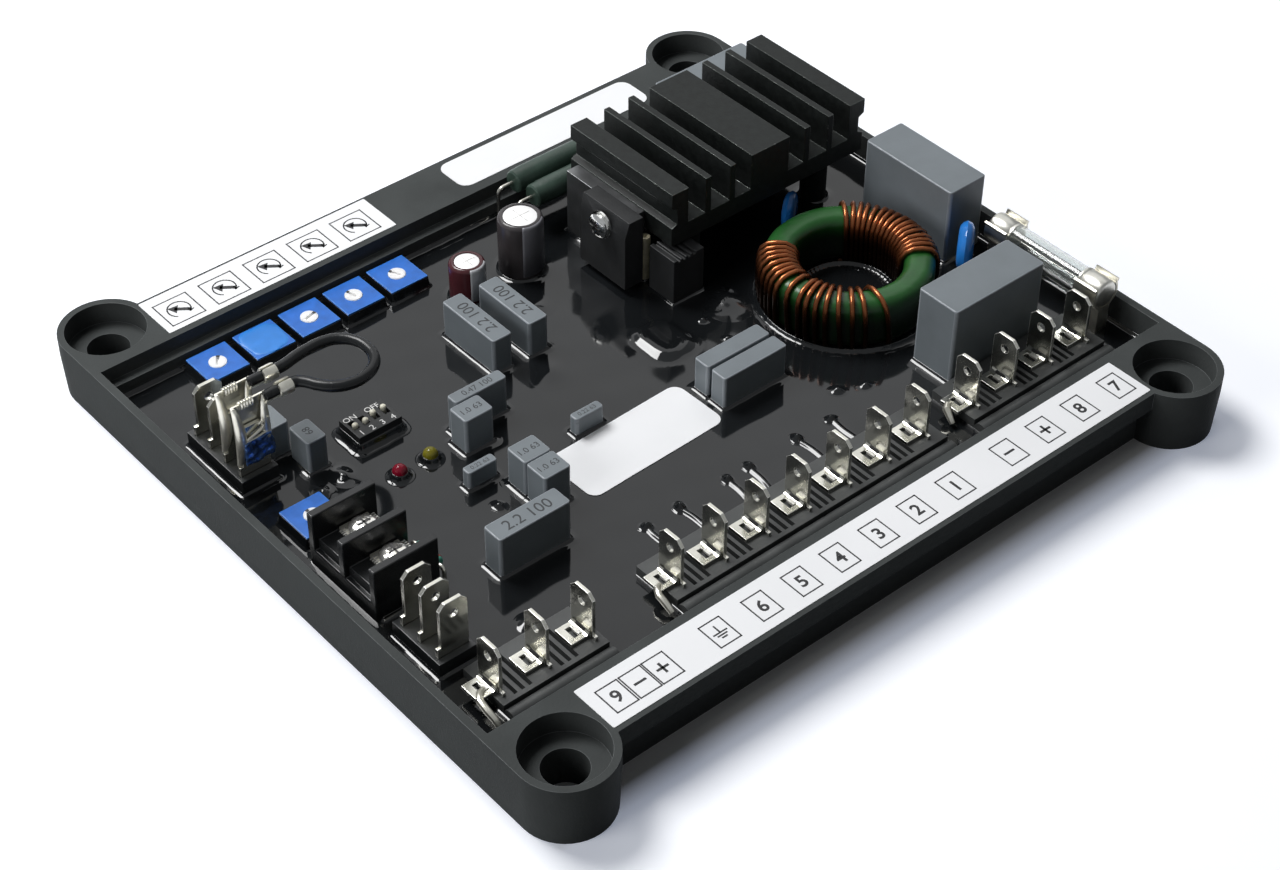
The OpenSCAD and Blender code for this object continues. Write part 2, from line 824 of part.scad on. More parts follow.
function wirewound_lead_places() = let (span = wirewound_l + 2 * wirewound_lead) [
    for (y = wirewound_y, s = [0, 1]) [wirewound_x - wirewound_lead + s * span, y]
];

// A lead that leaves a body at the origin along +X, bends down and stands on the board
module bent_lead(reach, drop, bend) {
    rotate([0, 90, 0]) cylinder(h = reach - bend, r = lead_r);
    translate([reach - bend, 0, -bend]) rotate([90, 0, 0]) rotate_extrude(angle = 90)
        translate([bend, 0]) circle(lead_r);
    translate([reach, 0, -drop]) cylinder(h = drop - bend, r = lead_r);
}

module wirewound(x, y) {
    end_r = wirewound_r - wirewound_rim[0];
    rim = wirewound_rim[1];
    translate([x, y, top_z + wirewound_z]) {
        rotate([0, 90, 0]) rotate_extrude() polygon([
            [0, 0], [end_r, 0], [wirewound_r, rim], [wirewound_r, wirewound_l - rim], [end_r, wirewound_l],
            [0, wirewound_l]
        ]);
        rotate([0, 0, 180]) bent_lead(wirewound_lead, wirewound_z, wirewound_bend);
        translate([wirewound_l, 0, 0]) bent_lead(wirewound_lead, wirewound_z, wirewound_bend);
    }
}

module wirewound_resistors() {
    color("darkslategray") for (y = wirewound_y) wirewound(wirewound_x, y);
}

module disc_varistor(at, turn, share, z) {
    r = disc_r * share;
    t = disc_t * share;
    translate([at[0], at[1], top_z]) rotate(turn) {
        translate([0, 0, z]) rotate([90, 0, 0]) rotate_extrude() polygon([
            [0, -t / 2], [r - disc_dome, -t / 2], [r, -t / 2 + disc_dome], [r, t / 2 - disc_dome],
            [r - disc_dome, t / 2], [0, t / 2]
        ]);
        for (s = [-1, 1]) translate([s * disc_lead_pitch / 2, 0, 0]) cylinder(h = z - r / 2, r = lead_r);
    }
}

module disc_varistors() {
    color("royalblue") for (i = [0, 1]) disc_varistor(disc_at[i], disc_turn[i], disc_share[i], disc_z[i]);
}

function axial_reach() = axial_l / 2 + axial_bend + 0.5;

module axial_resistor() {
    color("seagreen") translate([axial_at[0], axial_at[1], top_z + axial_z]) {
        rotate([90, 0, 0]) cylinder(h = axial_l, r = axial_r, center = true);
        for (turn = [90, -90]) rotate([0, 0, turn]) translate([axial_l / 2, 0, 0])
            bent_lead(axial_reach() - axial_l / 2, axial_z, axial_bend);
    }
}

function clip_places() = [for (s = [-1, 1]) fuse_at[1] + s * (fuse_l - fuse_cap_l) / 2];

module fuse_rod(r, len) {
    rotate([90, 0, 0]) cylinder(h = len, r = r, center = true);
}

module fuse_tube() {
    color([0.8, 0.85, 0.85, 0.5]) translate([fuse_at[0], fuse_at[1], top_z + fuse_z]) difference() {
        fuse_rod(fuse_glass_r, fuse_l - glass_in);
        fuse_rod(fuse_glass_r - glass_t, fuse_l);
    }
}

module fuse_caps() {
    color(tin) translate([fuse_at[0], fuse_at[1], top_z + fuse_z]) for (s = [-1, 1]) difference() {
        translate([0, s * (fuse_l - fuse_cap_l) / 2, 0]) fuse_rod(fuse_cap_r, fuse_cap_l);
        fuse_rod(fuse_glass_r, fuse_l - glass_in);
    }
}

// A spring clip: two curved jaws on a channel with a foot in the board
module clip_profile() {
    jaw_r = fuse_cap_r + seat_gap;
    difference() {
        circle(jaw_r + clip_t);
        circle(jaw_r);
        translate([-jaw_r, clip_mouth_z]) square([2 * jaw_r, jaw_r * 2]);
    }
    for (s = [-1, 1]) translate([s * (clip_lip[0] + clip_t), clip_lip[1]]) rotate(-s * clip_lip_turn)
        translate([-clip_t / 2, 0]) square([clip_t, clip_lip[2]]);
    translate([-clip_foot_w / 2, -fuse_z]) square([clip_foot_w, fuse_z - jaw_r - clip_t / 2]);
}

module fuse_clips() {
    color(tin) for (y = clip_places()) translate([fuse_at[0], y, top_z + fuse_z])
        along_y(clip_l) clip_profile();
}

// Terminals

function tab_places(mid, count) = [for (i = [0 : count - 1]) mid + (i - (count - 1) / 2) * tab_pitch];

function strip_ends(mid, count, past_tabs) = let (reach = (count - 1) / 2 * tab_pitch)
    [mid - reach - past_tabs[0], mid + reach + past_tabs[1]];

function strip_left_ends() = strip_ends(tabs_left_mid, tabs_left_count, strip_left_past);

function strip_middle_ends() = strip_ends(tabs_middle_mid, tabs_middle_count, strip_middle_past);

function strip_right_ends() = strip_ends(tabs_right_mid, tabs_right_count, strip_right_past);

module strip_profile() {
    lip_r = lip_w / 2;
    square([strip_d, strip_h]);
    translate([-lip_w, 0]) square([lip_w, strip_h - lip_drop - lip_r]);
    translate([-lip_r, strip_h - lip_drop - lip_r]) circle(lip_r);
}

module strip(ends, tabs) {
    groove_z = top_z + strip_h - groove_depth;
    color(black) difference() {
        translate([ends[0], strip_front, top_z]) along_x(ends[1] - ends[0]) strip_profile();
        for (x = tabs) {
            translate([x - tab_t / 2, tab_y - tab_shank_w / 2, top_z - past])
                cube([tab_t, tab_shank_w, strip_h + 2 * past]);
            if (x + tab_pitch < ends[1]) for (k = [0 : grooves - 1])
                translate([x + groove_first + k * groove_pitch, strip_front + groove_in, groove_z])
                    cube([groove_w, strip_d - 2 * groove_in, groove_depth + past]);
        }
    }
}

function blade_outline(w, h) = [
    [-w / 2, 0], [w / 2, 0], [w / 2, h - tab_chamfer], [w / 2 - tab_chamfer, h],
    [-w / 2 + tab_chamfer, h], [-w / 2, h - tab_chamfer]
];

module front_tab(x) {
    translate([x - tab_t / 2, tab_y, top_z + strip_h]) {
        along_x(tab_t) difference() {
            union() {
                polygon(blade_outline(tab_w, front_tab_h));
                translate([-tab_w / 2 - shoulder_w, 0]) square([shoulder_w, tab_foot_t]);
                translate([-tab_shank_w / 2, -strip_h]) square([tab_shank_w, strip_h]);
            }
            translate([0, front_tab_h - tab_hole_drop]) circle(tab_hole_r);
        }
        translate([-tab_foot_l, -tab_foot_w / 2, 0]) difference() {
            cube([tab_foot_l, tab_foot_w, tab_foot_t]);
            translate([(tab_foot_l - tab_slot[0]) / 2, (tab_foot_w - tab_slot[1]) / 2, -past])
                cube([tab_slot[0], tab_slot[1], tab_foot_t + 2 * past]);
        }
    }
}

module front_tabs(tabs) {
    color(tin) for (x = tabs) front_tab(x);
}

module strip_left() {
    strip(strip_left_ends(), tab_places(tabs_left_mid, tabs_left_count));
}

module strip_middle() {
    strip(strip_middle_ends(), tab_places(tabs_middle_mid, tabs_middle_count));
}

module strip_right() {
    strip(strip_right_ends(), tab_places(tabs_right_mid, tabs_right_count));
}

module tabs_left() {
    front_tabs(tab_places(tabs_left_mid, tabs_left_count));
}

module tabs_middle() {
    front_tabs(tab_places(tabs_middle_mid, tabs_middle_count));
}

module tabs_right() {
    front_tabs(tab_places(tabs_right_mid, tabs_right_count));
}

module header_plan(ys) {
    low = min(ys) - header_past_tab;
    translate([header_x - header_w / 2, low]) square([header_w, max(ys) + header_past_tab - low]);
}

module header_housing(ys) {
    color(black) difference() {
        translate([0, 0, top_z]) linear_extrude(housing_h) header_plan(ys);
        for (y = ys) translate([header_tab_x - tab_w / 2 - shoulder_w, y - tab_t / 2, top_z - past])
            cube([tab_w + shoulder_w, tab_t, housing_h + 2 * past]);
    }
}

module header_tabs(ys, h) {
    color(tin) for (y = ys) translate([header_tab_x, y, top_z]) along_y(tab_t) difference() {
        union() {
            polygon(blade_outline(tab_w, h));
            translate([-tab_w / 2 - shoulder_w, 0]) square([shoulder_w + past, housing_h + shoulder_h]);
        }
        translate([0, h - tab_hole_drop]) circle(tab_hole_r);
    }
}

module back_header() {
    header_housing(back_tab_y);
}

module back_header_tabs() {
    header_tabs(back_tab_y, back_tab_h);
}

module front_header() {
    header_housing(front_tab_y);
}

module front_header_tabs() {
    header_tabs(front_tab_y, front_header_tab_h);
}

// Receptacle section seen from above: a flat back and two curled edges round the tab
module receptacle_section() {
    slot = [tab_w + 2 * receptacle_play, tab_t + 2 * receptacle_play];
    curl_r = slot[1] / 2 + receptacle_wall;
    difference() {
        union() {
            square([slot[0], 2 * curl_r], center = true);
            for (s = [-1, 1]) translate([s * slot[0] / 2, 0]) circle(curl_r);
        }
        square(slot, center = true);
        translate([0, -curl_r]) square([slot[0] / 3, 2 * receptacle_wall], center = true);
    }
}

module receptacle(y) {
    neck_l = tab_w + tab_t + 2 * receptacle_wall + 2 * receptacle_play - receptacle_neck_in;
    neck_z = receptacle_top - receptacle_neck_h;
    neck_x = header_tab_x - tab_w / 2;
    barrel_x = neck_x + neck_l - receptacle_neck_in;
    translate([header_tab_x, y, top_z + receptacle_foot])
        linear_extrude(neck_z - receptacle_foot) receptacle_section();
    translate([neck_x, y - tab_t, top_z + neck_z]) cube([neck_l, 2 * tab_t, receptacle_neck_h]);
    translate([barrel_x, y, barrel_z]) rotate([0, 90, 0]) cylinder(h = barrel_end_x - barrel_x, r = barrel_r);
    for (k = [0 : crimp_ribs - 1])
        translate([neck_x + crimp_rib_first + k * crimp_rib_pitch, y - tab_t, top_z + receptacle_top])
            cube([crimp_rib_pitch / 2, 2 * tab_t, crimp_rib_h]);
}

module receptacles() {
    color(tin) for (y = receptacle_y) receptacle(y);
}

// A point on the smooth curve through four neighbouring points
function between(a, b, c, d, t) = 0.5 * (
    2 * b + t * (c - a) + t * t * (2 * a - 5 * b + 4 * c - d) + t * t * t * (3 * b - a - 3 * c + d)
);

function smooth(points) = let (n = len(points)) concat(
    [for (i = [0 : n - 2], k = [0 : jumper_steps - 1])
        let (before = points[max(i - 1, 0)], after = points[min(i + 2, n - 1)])
        between(before, points[i], points[i + 1], after, k / jumper_steps)],
    [points[n - 1]]
);

module jumper_wire() {
    path = smooth(jumper_points);
    n = len(path);
    points = [
        for (i = [0 : n - 1]) let (
            ahead = path[min(i + 1, n - 1)] - path[max(i - 1, 0)],
            way = (i == 0) ? [1, 0] : (i == n - 1) ? [-1, 0] : ahead / norm(ahead),
            side = [-way[1], way[0]]
        ) for (a = ring_angles(jumper_sides)) let (s = jumper_d / 2 * cos(a), h = jumper_d / 2 * sin(a))
            [path[i][0] + s * side[0], path[i][1] + s * side[1], barrel_z + h]
    ];
    color([0.08, 0.08, 0.09]) polyhedron(points, tube_faces(n, jumper_sides));
}

module barrier_block() {
    color(black) translate([0, 0, top_z]) {
        translate([barrier_x - barrier_l / 2, barrier_y[2] - barrier_wall_t / 2, 0])
            cube([barrier_l, 2 * barrier_pitch + barrier_wall_t, barrier_base_h]);
        for (y = barrier_y) translate([barrier_x - barrier_l / 2, y - barrier_wall_t / 2, 0])
            cube([barrier_l, barrier_wall_t, barrier_h]);
        translate([barrier_x - barrier_l / 2 + barrier_block_in[0], barrier_y[2], 0])
            cube([barrier_l - barrier_block_in[0] - barrier_block_in[1], 2 * barrier_pitch, barrier_block_h]);
    }
}

function barrier_bays() = [for (i = [0, 1]) (barrier_y[i] + barrier_y[i + 1]) / 2];

module clamp_plates() {
    plate_w = barrier_pitch - barrier_wall_t - 2 * plate_play;
    color(tin) for (y = barrier_bays()) translate([clamp_plate_x, y, top_z + barrier_block_h])
        centred([clamp_plate_l, plate_w, plate_t]);
}

module terminal_screws() {
    color("silver") for (y = barrier_bays())
        translate([clamp_plate_x, y, top_z + barrier_block_h + plate_t]) difference() {
            cylinder(h = terminal_head_h, r1 = terminal_head_r, r2 = terminal_head_r * terminal_head_taper);
            for (turn = [0, 90]) rotate(turn + terminal_screw_turn)
                translate([-terminal_head_r, -screw_slot[0] / 2, terminal_head_h - screw_slot[1]])
                    cube([2 * terminal_head_r, screw_slot[0], screw_slot[1] + past]);
        }
}

// Trimmers

rotor_seat_z = top_z + trimmer_h + rotor_proud - rotor_h;

module trimmer_bodies() {
    color(trimmer_blue) for (i = [0 : len(trimmer_at) - 1]) translate([trimmer_at[i][0], trimmer_at[i][1], 0])
        difference() {
            translate([0, 0, top_z]) centred([trimmer_w, trimmer_w, trimmer_h]);
            if (i != sealed_trimmer) translate([0, 0, rotor_seat_z - running_gap])
                cylinder(h = rotor_h + past, r = rotor_r + running_gap);
        }
}

module trimmer_seal() {
    at = trimmer_at[sealed_trimmer];
    color(trimmer_blue) translate([at[0], at[1], top_z + trimmer_h])
        cylinder(h = seal_t, r1 = seal_r, r2 = seal_r - seal_t);
}

module rotor(i) {
    at = trimmer_at[i];
    color("white") translate([at[0], at[1], rotor_seat_z]) rotate(rotor_setting[i]) difference() {
        cylinder(h = rotor_h, r = rotor_r);
        translate([rotor_r, 0, rotor_h - rotor_slot_depth])
            cylinder(h = rotor_slot_depth + past, r = rotor_notch_r);
        translate([rotor_slot_tail - rotor_r, -rotor_slot_w / 2, rotor_h - rotor_slot_depth])
            cube([2 * rotor_r - rotor_slot_tail, rotor_slot_w, rotor_slot_depth + past]);
    }
}

module rotor_1() {
    rotor(0);
}

module rotor_3() {
    rotor(2);
}

module rotor_4() {
    rotor(3);
}

module rotor_5() {
    rotor(4);
}

module rotor_6() {
    rotor(5);
}

// Switch and lamps

function slider_x(i) = switch_at[0] + (i - 1.5) * slider_pitch;

slider_seat_z = top_z + switch_size[2] + slider_proud - slider_h;

module switch_body() {
    color(black) difference() {
        translate([switch_at[0], switch_at[1], top_z]) centred(switch_size);
        for (i = [0 : 3]) translate([
            slider_x(i) - slider_w / 2 - slider_play,
            slider_forward_y - slider_l / 2 - slider_play,
            slider_seat_z - running_gap
        ]) cube([slider_w + 2 * slider_play, slider_l + slider_travel + 2 * slider_play, slider_h + past]);
    }
}

module slider(i) {
    y = slider_forward_y + slider_is_back[i] * slider_travel;
    color("white") translate([slider_x(i), y, slider_seat_z]) centred([slider_w, slider_l, slider_h]);
}

module slider_1() {
    slider(0);
}

module slider_2() {
    slider(1);
}

module slider_3() {
    slider(2);
}

module slider_4() {
    slider(3);
}

module lamp(at) {
    translate([at[0], at[1], top_z]) {
        cylinder(h = lamp_h - lamp_r, r = lamp_r);
        translate([0, 0, lamp_h - lamp_r]) sphere(lamp_r);
    }
}

module lamp_red() {
    color("firebrick") lamp(lamp_red_at);
}

module lamp_green() {
    color("yellowgreen") lamp(lamp_green_at);
}

tray();
circuit_board();
potting_resin();
heat_sink();
sink_posts();
sink_bracket();
power_transistor();
clamp_screw();
bridge_module();
spacer_post();
choke_core();
choke_winding_back();
choke_winding_front();
film_capacitors_back();
film_capacitor_slim();
film_capacitors_square();
film_capacitors_thin();
film_capacitor_front();
film_capacitors_middle();
film_capacitor_side();
film_capacitor_large();
film_capacitor_rear();
film_capacitors_small();
can_capacitor_small();
can_capacitor_large();
wirewound_resistors();
disc_varistors();
axial_resistor();
fuse_tube();
fuse_caps();
fuse_clips();
strip_left();
strip_middle();
strip_right();
tabs_left();
tabs_middle();
tabs_right();
back_header();
back_header_tabs();
front_header();
front_header_tabs();
receptacles();
jumper_wire();
barrier_block();
clamp_plates();
terminal_screws();
trimmer_bodies();
trimmer_seal();
rotor_1();
rotor_3();
rotor_4();
rotor_5();
rotor_6();
switch_body();
slider_1();
slider_2();
slider_3();
slider_4();
lamp_red();
lamp_green();
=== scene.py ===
# An open potted voltage regulator of an alternator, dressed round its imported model.
# The camera stands where the photograph was taken, in a plain pale studio.
import math

import bmesh
import bpy
import numpy as np
from mathutils import Matrix, Vector


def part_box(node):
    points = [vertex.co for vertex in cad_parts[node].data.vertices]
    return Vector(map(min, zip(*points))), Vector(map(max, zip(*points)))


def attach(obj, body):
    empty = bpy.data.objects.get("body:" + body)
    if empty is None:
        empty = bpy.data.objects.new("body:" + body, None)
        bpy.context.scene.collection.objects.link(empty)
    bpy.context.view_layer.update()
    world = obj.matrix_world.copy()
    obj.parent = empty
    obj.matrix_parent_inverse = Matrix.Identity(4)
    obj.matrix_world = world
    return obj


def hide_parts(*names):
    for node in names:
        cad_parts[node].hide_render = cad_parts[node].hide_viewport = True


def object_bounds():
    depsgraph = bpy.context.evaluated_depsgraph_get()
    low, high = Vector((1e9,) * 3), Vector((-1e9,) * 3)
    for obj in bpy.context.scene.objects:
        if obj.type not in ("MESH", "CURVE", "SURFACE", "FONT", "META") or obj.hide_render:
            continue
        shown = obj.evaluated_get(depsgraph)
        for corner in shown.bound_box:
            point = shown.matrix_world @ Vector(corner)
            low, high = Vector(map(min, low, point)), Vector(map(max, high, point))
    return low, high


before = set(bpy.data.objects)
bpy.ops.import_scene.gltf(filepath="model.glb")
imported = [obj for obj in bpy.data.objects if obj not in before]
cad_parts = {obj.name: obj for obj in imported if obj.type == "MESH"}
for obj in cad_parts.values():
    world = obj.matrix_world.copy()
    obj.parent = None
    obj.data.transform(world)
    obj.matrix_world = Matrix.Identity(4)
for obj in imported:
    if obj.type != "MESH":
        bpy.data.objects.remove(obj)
cad_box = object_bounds()

# Camera
# It looks down on the tray's near corner. Its place and lens come from the four bosses, the terminal row
# and the tray's edges in the photograph.
MM = 0.001
PHOTO_W = 1280
PHOTO_H = 870
SENSOR_MM = 36.0
FOCAL_PX = 2545.1
CENTRE_PX = (623.8, 461.3)
AZIMUTH = math.radians(-40.338)
ELEVATION = math.radians(42.167)
ROLL = math.radians(0.205)
DISTANCE_MM = 495.7
AIM_MM = Vector((-24.38, -24.98, 14.2))

back = Vector((
    math.sin(AZIMUTH) * math.cos(ELEVATION),
    -math.cos(AZIMUTH) * math.cos(ELEVATION),
    math.sin(ELEVATION),
))
level = Vector((math.cos(AZIMUTH), math.sin(AZIMUTH), 0.0))
upright = back.cross(level)
right = math.cos(ROLL) * level + math.sin(ROLL) * upright
up = math.cos(ROLL) * upright - math.sin(ROLL) * level
stand = (AIM_MM + DISTANCE_MM * back) * MM
camera_data = bpy.data.cameras.new("camera")
camera_data.sensor_width = SENSOR_MM
camera_data.lens = FOCAL_PX * SENSOR_MM / PHOTO_W
camera_data.shift_x = 0.5 - CENTRE_PX[0] / PHOTO_W
camera_data.shift_y = (CENTRE_PX[1] - PHOTO_H / 2) / PHOTO_W
camera_data.clip_start = 0.01
camera_data.clip_end = 20.0
camera = bpy.data.objects.new("camera", camera_data)
camera.matrix_world = Matrix((
    (right.x, up.x, back.x, stand.x),
    (right.y, up.y, back.y, stand.y),
    (right.z, up.z, back.z, stand.z),
    (0.0, 0.0, 0.0, 1.0),
))
scene = bpy.context.scene
scene.collection.objects.link(camera)
scene.camera = camera
scene.view_settings.view_transform = "Standard"

# Light
# A soft box stands high behind the back edge, and its shadow falls in front. A wide one at the left lights
# the sides that face it, and the black resin mirrors a broad pale backdrop behind the far corner.
LAMPS = {
    "key_box": ((-123, 461, 763), 380, 7.6, True),
    "backdrop_box": ((532, 669, 769), 1150, 2.9, True),
    "left_box": ((-700, 60, 330), 420, 2.5, False),
    "front_fill": ((-220, -700, 480), 500, 0.1, False),
}
SURROUND = (0.94, 0.97, 1.0, 1.0)
SURROUND_LEVEL = 0.045
GLOSS_LEVEL = 0.36


def add_lamp(name, place_mm, size_mm, power, mirrored):
    """A square soft box that faces the tray. The camera doesn't see it, and glossy faces may."""
    data = bpy.data.lights.new(name, "AREA")
    data.shape = "SQUARE"
    data.size = size_mm * MM
    data.energy = power
    lamp = bpy.data.objects.new(name, data)
    lamp.location = Vector(place_mm) * MM
    lamp.rotation_euler = (-lamp.location).to_track_quat("-Z", "Y").to_euler()
    lamp.visible_glossy = mirrored
    lamp.visible_camera = False
    scene.collection.objects.link(lamp)


def set_inputs(node, settings):
    """Sets a shader node's inputs by their names."""
    for key, value in settings.items():
        node.inputs[key].default_value = value
    return node


def add_node(tree, kind, settings=None, operation=None):
    """A shader node of one kind, with its inputs set."""
    node = tree.nodes.new("ShaderNode" + kind)
    if operation:
        node.operation = operation
    return set_inputs(node, settings or {})


def link(tree, source, output, target, socket):
    """Carries one node's output to another node's input."""
    tree.links.new(source.outputs[output], target.inputs[socket])


for lamp_name, lamp_settings in LAMPS.items():
    add_lamp(lamp_name, *lamp_settings)

world = bpy.data.worlds.new("studio")
world.use_nodes = True
scene.world = world
sky = world.node_tree
sky.nodes.clear()
rays = add_node(sky, "LightPath")
soft_light = add_node(sky, "Background", {"Color": SURROUND, "Strength": SURROUND_LEVEL})
seen_in_gloss = add_node(sky, "Background", {"Color": SURROUND, "Strength": GLOSS_LEVEL})
white_page = add_node(sky, "Background", {"Color": (1.0, 1.0, 1.0, 1.0), "Strength": 1.0})
gloss_mix = add_node(sky, "MixShader")
page_mix = add_node(sky, "MixShader")
either = add_node(sky, "Math", operation="MAXIMUM")
world_out = add_node(sky, "OutputWorld")
link(sky, rays, "Is Glossy Ray", gloss_mix, 0)
link(sky, soft_light, 0, gloss_mix, 1)
link(sky, seen_in_gloss, 0, gloss_mix, 2)
link(sky, rays, "Is Camera Ray", either, 0)
link(sky, rays, "Is Transmission Ray", either, 1)
link(sky, either, 0, page_mix, 0)
link(sky, gloss_mix, 0, page_mix, 1)
link(sky, white_page, 0, page_mix, 2)
link(sky, page_mix, 0, world_out, 0)

# Floor
# A plain pale sheet of card, lifted to white where it is seen, which keeps the shadow. It throws less light
# back on the tray's sides than white card would, and isn't lifted under the tray, where bolt holes are dark.
FLOOR_MM = 6000
FLOOR_COLOUR = (0.93, 0.93, 0.93, 1.0)
FLOOR_BOUNCE = (0.13, 0.135, 0.145, 1.0)
FLOOR_LIFT = 0.27
LIFT_COLOUR = (0.72, 0.80, 1.0, 1.0)
UNDER_INSET = 1.5
UNDER_TRAY = (cad_box[1].x / MM - UNDER_INSET, cad_box[1].y / MM - UNDER_INSET)
UNDER_SOFT = 5.0

floor_mesh = bpy.data.meshes.new("floor")
half = FLOOR_MM * MM / 2
floor_corners = [(-half, -half, 0), (half, -half, 0), (half, half, 0), (-half, half, 0)]
floor_mesh.from_pydata(floor_corners, [], [(0, 1, 2, 3)])
floor = bpy.data.objects.new("floor", floor_mesh)
scene.collection.objects.link(floor)
card = bpy.data.materials.new("pale_card")
card.use_nodes = True
sheet = card.node_tree
card_face = set_inputs(sheet.nodes["Principled BSDF"], {
    "Base Color": FLOOR_COLOUR, "Roughness": 0.9, "Specular IOR Level": 0.1, "Emission Color": LIFT_COLOUR,
})
card_rays = add_node(sheet, "LightPath")
card_bounce = add_node(sheet, "BsdfDiffuse", {"Color": FLOOR_BOUNCE})
card_through = add_node(sheet, "Math", operation="MAXIMUM")
card_seen = add_node(sheet, "Math", operation="MAXIMUM")
card_mix = add_node(sheet, "MixShader")
card_place = add_node(sheet, "TexCoord")
card_away = add_node(sheet, "VectorMath", operation="ABSOLUTE")
card_sides = add_node(sheet, "SeparateXYZ")
card_out = add_node(sheet, "Math", operation="MAXIMUM")
card_lift = add_node(sheet, "Math", {1: FLOOR_LIFT}, "MULTIPLY")
link(sheet, card_place, "Object", card_away, 0)
link(sheet, card_away, 0, card_sides, 0)
for socket, axis in enumerate("XY"):
    beyond = add_node(sheet, "MapRange", {
        "From Min": (UNDER_TRAY[socket] - UNDER_SOFT) * MM, "From Max": UNDER_TRAY[socket] * MM,
    })
    link(sheet, card_sides, axis, beyond, "Value")
    link(sheet, beyond, "Result", card_out, socket)
link(sheet, card_out, 0, card_lift, 0)
link(sheet, card_lift, 0, card_face, "Emission Strength")
link(sheet, card_rays, "Is Glossy Ray", card_through, 0)
link(sheet, card_rays, "Is Transmission Ray", card_through, 1)
link(sheet, card_rays, "Is Camera Ray", card_seen, 0)
link(sheet, card_through, 0, card_seen, 1)
link(sheet, card_seen, 0, card_mix, 0)
link(sheet, card_bounce, 0, card_mix, 1)
link(sheet, card_face, 0, card_mix, 2)
link(sheet, card_mix, 0, sheet.nodes["Material Output"], "Surface")
floor_mesh.materials.append(card)

# Jumper wire
# A short loop of stranded wire in black PVC, crimped into a push-on receptacle at each end. It is stiff
# enough to stand in a flat loop beside the header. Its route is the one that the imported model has.
JUMPER_LOOP = [
    (-68.6, 28.1), (-66.4, 28.2), (-63.4, 28.8), (-60.0, 29.2), (-56.6, 29.1), (-53.4, 27.8), (-51.4, 25.2),
    (-50.8, 22.0), (-51.4, 19.0), (-53.4, 16.5), (-56.4, 15.2), (-59.6, 15.2), (-62.6, 16.6), (-64.8, 19.0),
    (-66.2, 21.4), (-67.4, 22.5), (-68.6, 22.7),
]
JUMPER_D = 2.4
JUMPER_Z = (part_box("jumper_wire")[0].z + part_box("jumper_wire")[1].z) / 2 / MM


def finish(
    name, colour, rough, spread=0.12, patch=90.0, grain=2600.0, depth=0.02, metallic=0.0, ior=1.46, sheen=0.5,
):
    """A finish whose colour and gloss vary a little over the piece, with a fine grain in relief."""
    material = bpy.data.materials.new(name)
    material.use_nodes = True
    tree = material.node_tree
    shader = set_inputs(tree.nodes["Principled BSDF"], {
        "Metallic": metallic, "IOR": ior, "Specular IOR Level": sheen,
    })
    where = add_node(tree, "TexCoord")
    patches = add_node(tree, "TexNoise", {"Scale": patch, "Detail": 5.0})
    tint = add_node(tree, "ValToRGB")
    tint.name = "tint"
    for stop, place, change in zip(tint.color_ramp.elements, (0.3, 0.7), (1 - spread, 1 + spread)):
        stop.position = place
        stop.color = [min(1.0, c * change) for c in colour] + [1.0]
    gloss = add_node(tree, "MapRange", {"To Min": rough * 0.8, "To Max": min(1.0, rough * 1.2)})
    fine = add_node(tree, "TexNoise", {"Scale": grain, "Detail": 2.0})
    relief = add_node(tree, "Bump", {"Strength": 1.0, "Distance": depth * MM})
    link(tree, where, "Object", patches, "Vector")
    link(tree, patches, "Fac", tint, "Fac")
    link(tree, tint, "Color", shader, "Base Color")
    link(tree, patches, "Fac", gloss, "Value")
    link(tree, gloss, "Result", shader, "Roughness")
    link(tree, where, "Object", fine, "Vector")
    link(tree, fine, "Fac", relief, "Height")
    link(tree, relief, "Normal", shader, "Normal")
    return material


jumper_pvc = finish("jumper_pvc", (0.009, 0.010, 0.011), 0.27, grain=900.0, depth=0.03, sheen=0.35)
jumper_curve = bpy.data.curves.new("jumper_lead", "CURVE")
jumper_curve.dimensions = "3D"
jumper_curve.bevel_depth = JUMPER_D / 2 * MM
jumper_curve.bevel_resolution = 5
jumper_curve.resolution_u = 8
jumper_curve.use_fill_caps = True
jumper_spline = jumper_curve.splines.new("BEZIER")
jumper_spline.bezier_points.add(len(JUMPER_LOOP) - 1)
for knot, (x, y) in zip(jumper_spline.bezier_points, JUMPER_LOOP):
    knot.co = (x * MM, y * MM, JUMPER_Z * MM)
    knot.handle_left_type = "AUTO"
    knot.handle_right_type = "AUTO"
jumper_curve.materials.append(jumper_pvc)
jumper_lead = bpy.data.objects.new("jumper_lead", jumper_curve)
scene.collection.objects.link(jumper_lead)
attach(jumper_lead, "regulator")
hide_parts("jumper_wire")

# Push-on receptacles
# Each is folded from tinned brass strip: a flat back whose two edges roll over the tab, a neck, a serrated
# crimp on the bare strands and a wider crimp that grips the insulation. The front one keeps a blue insert.
RECEPTACLE_X = -78.2
RECEPTACLE_Y = (28.1, 22.7)
RECEPTACLE_HALF_W = 3.75
RECEPTACLE_LEVELS = (
    (13.2, 0.42), (14.4, 0.6), (16.5, 0.84), (18.8, 0.98), (20.8, 0.98), (22.8, 0.86), (24.8, 0.68),
    (26.4, 0.52), (27.2, 0.36), (27.6, 0.22),
)
RECEPTACLE_BACK = 0.85
STRIP_T = 0.4
SERRATIONS = 5
CRIMP_X = (-80.3, -77.2)
CRIMP_Y = 0.55
CRIMP_Z = (26.6, 28.3)
NECK_X = (-79.0, -73.9)
NECK_LEVELS = ((24.6, 0.0, -2.4), (26.0, 0.0, -0.4), (27.6, 0.0, 0.0), (27.9, 0.3, 0.0))
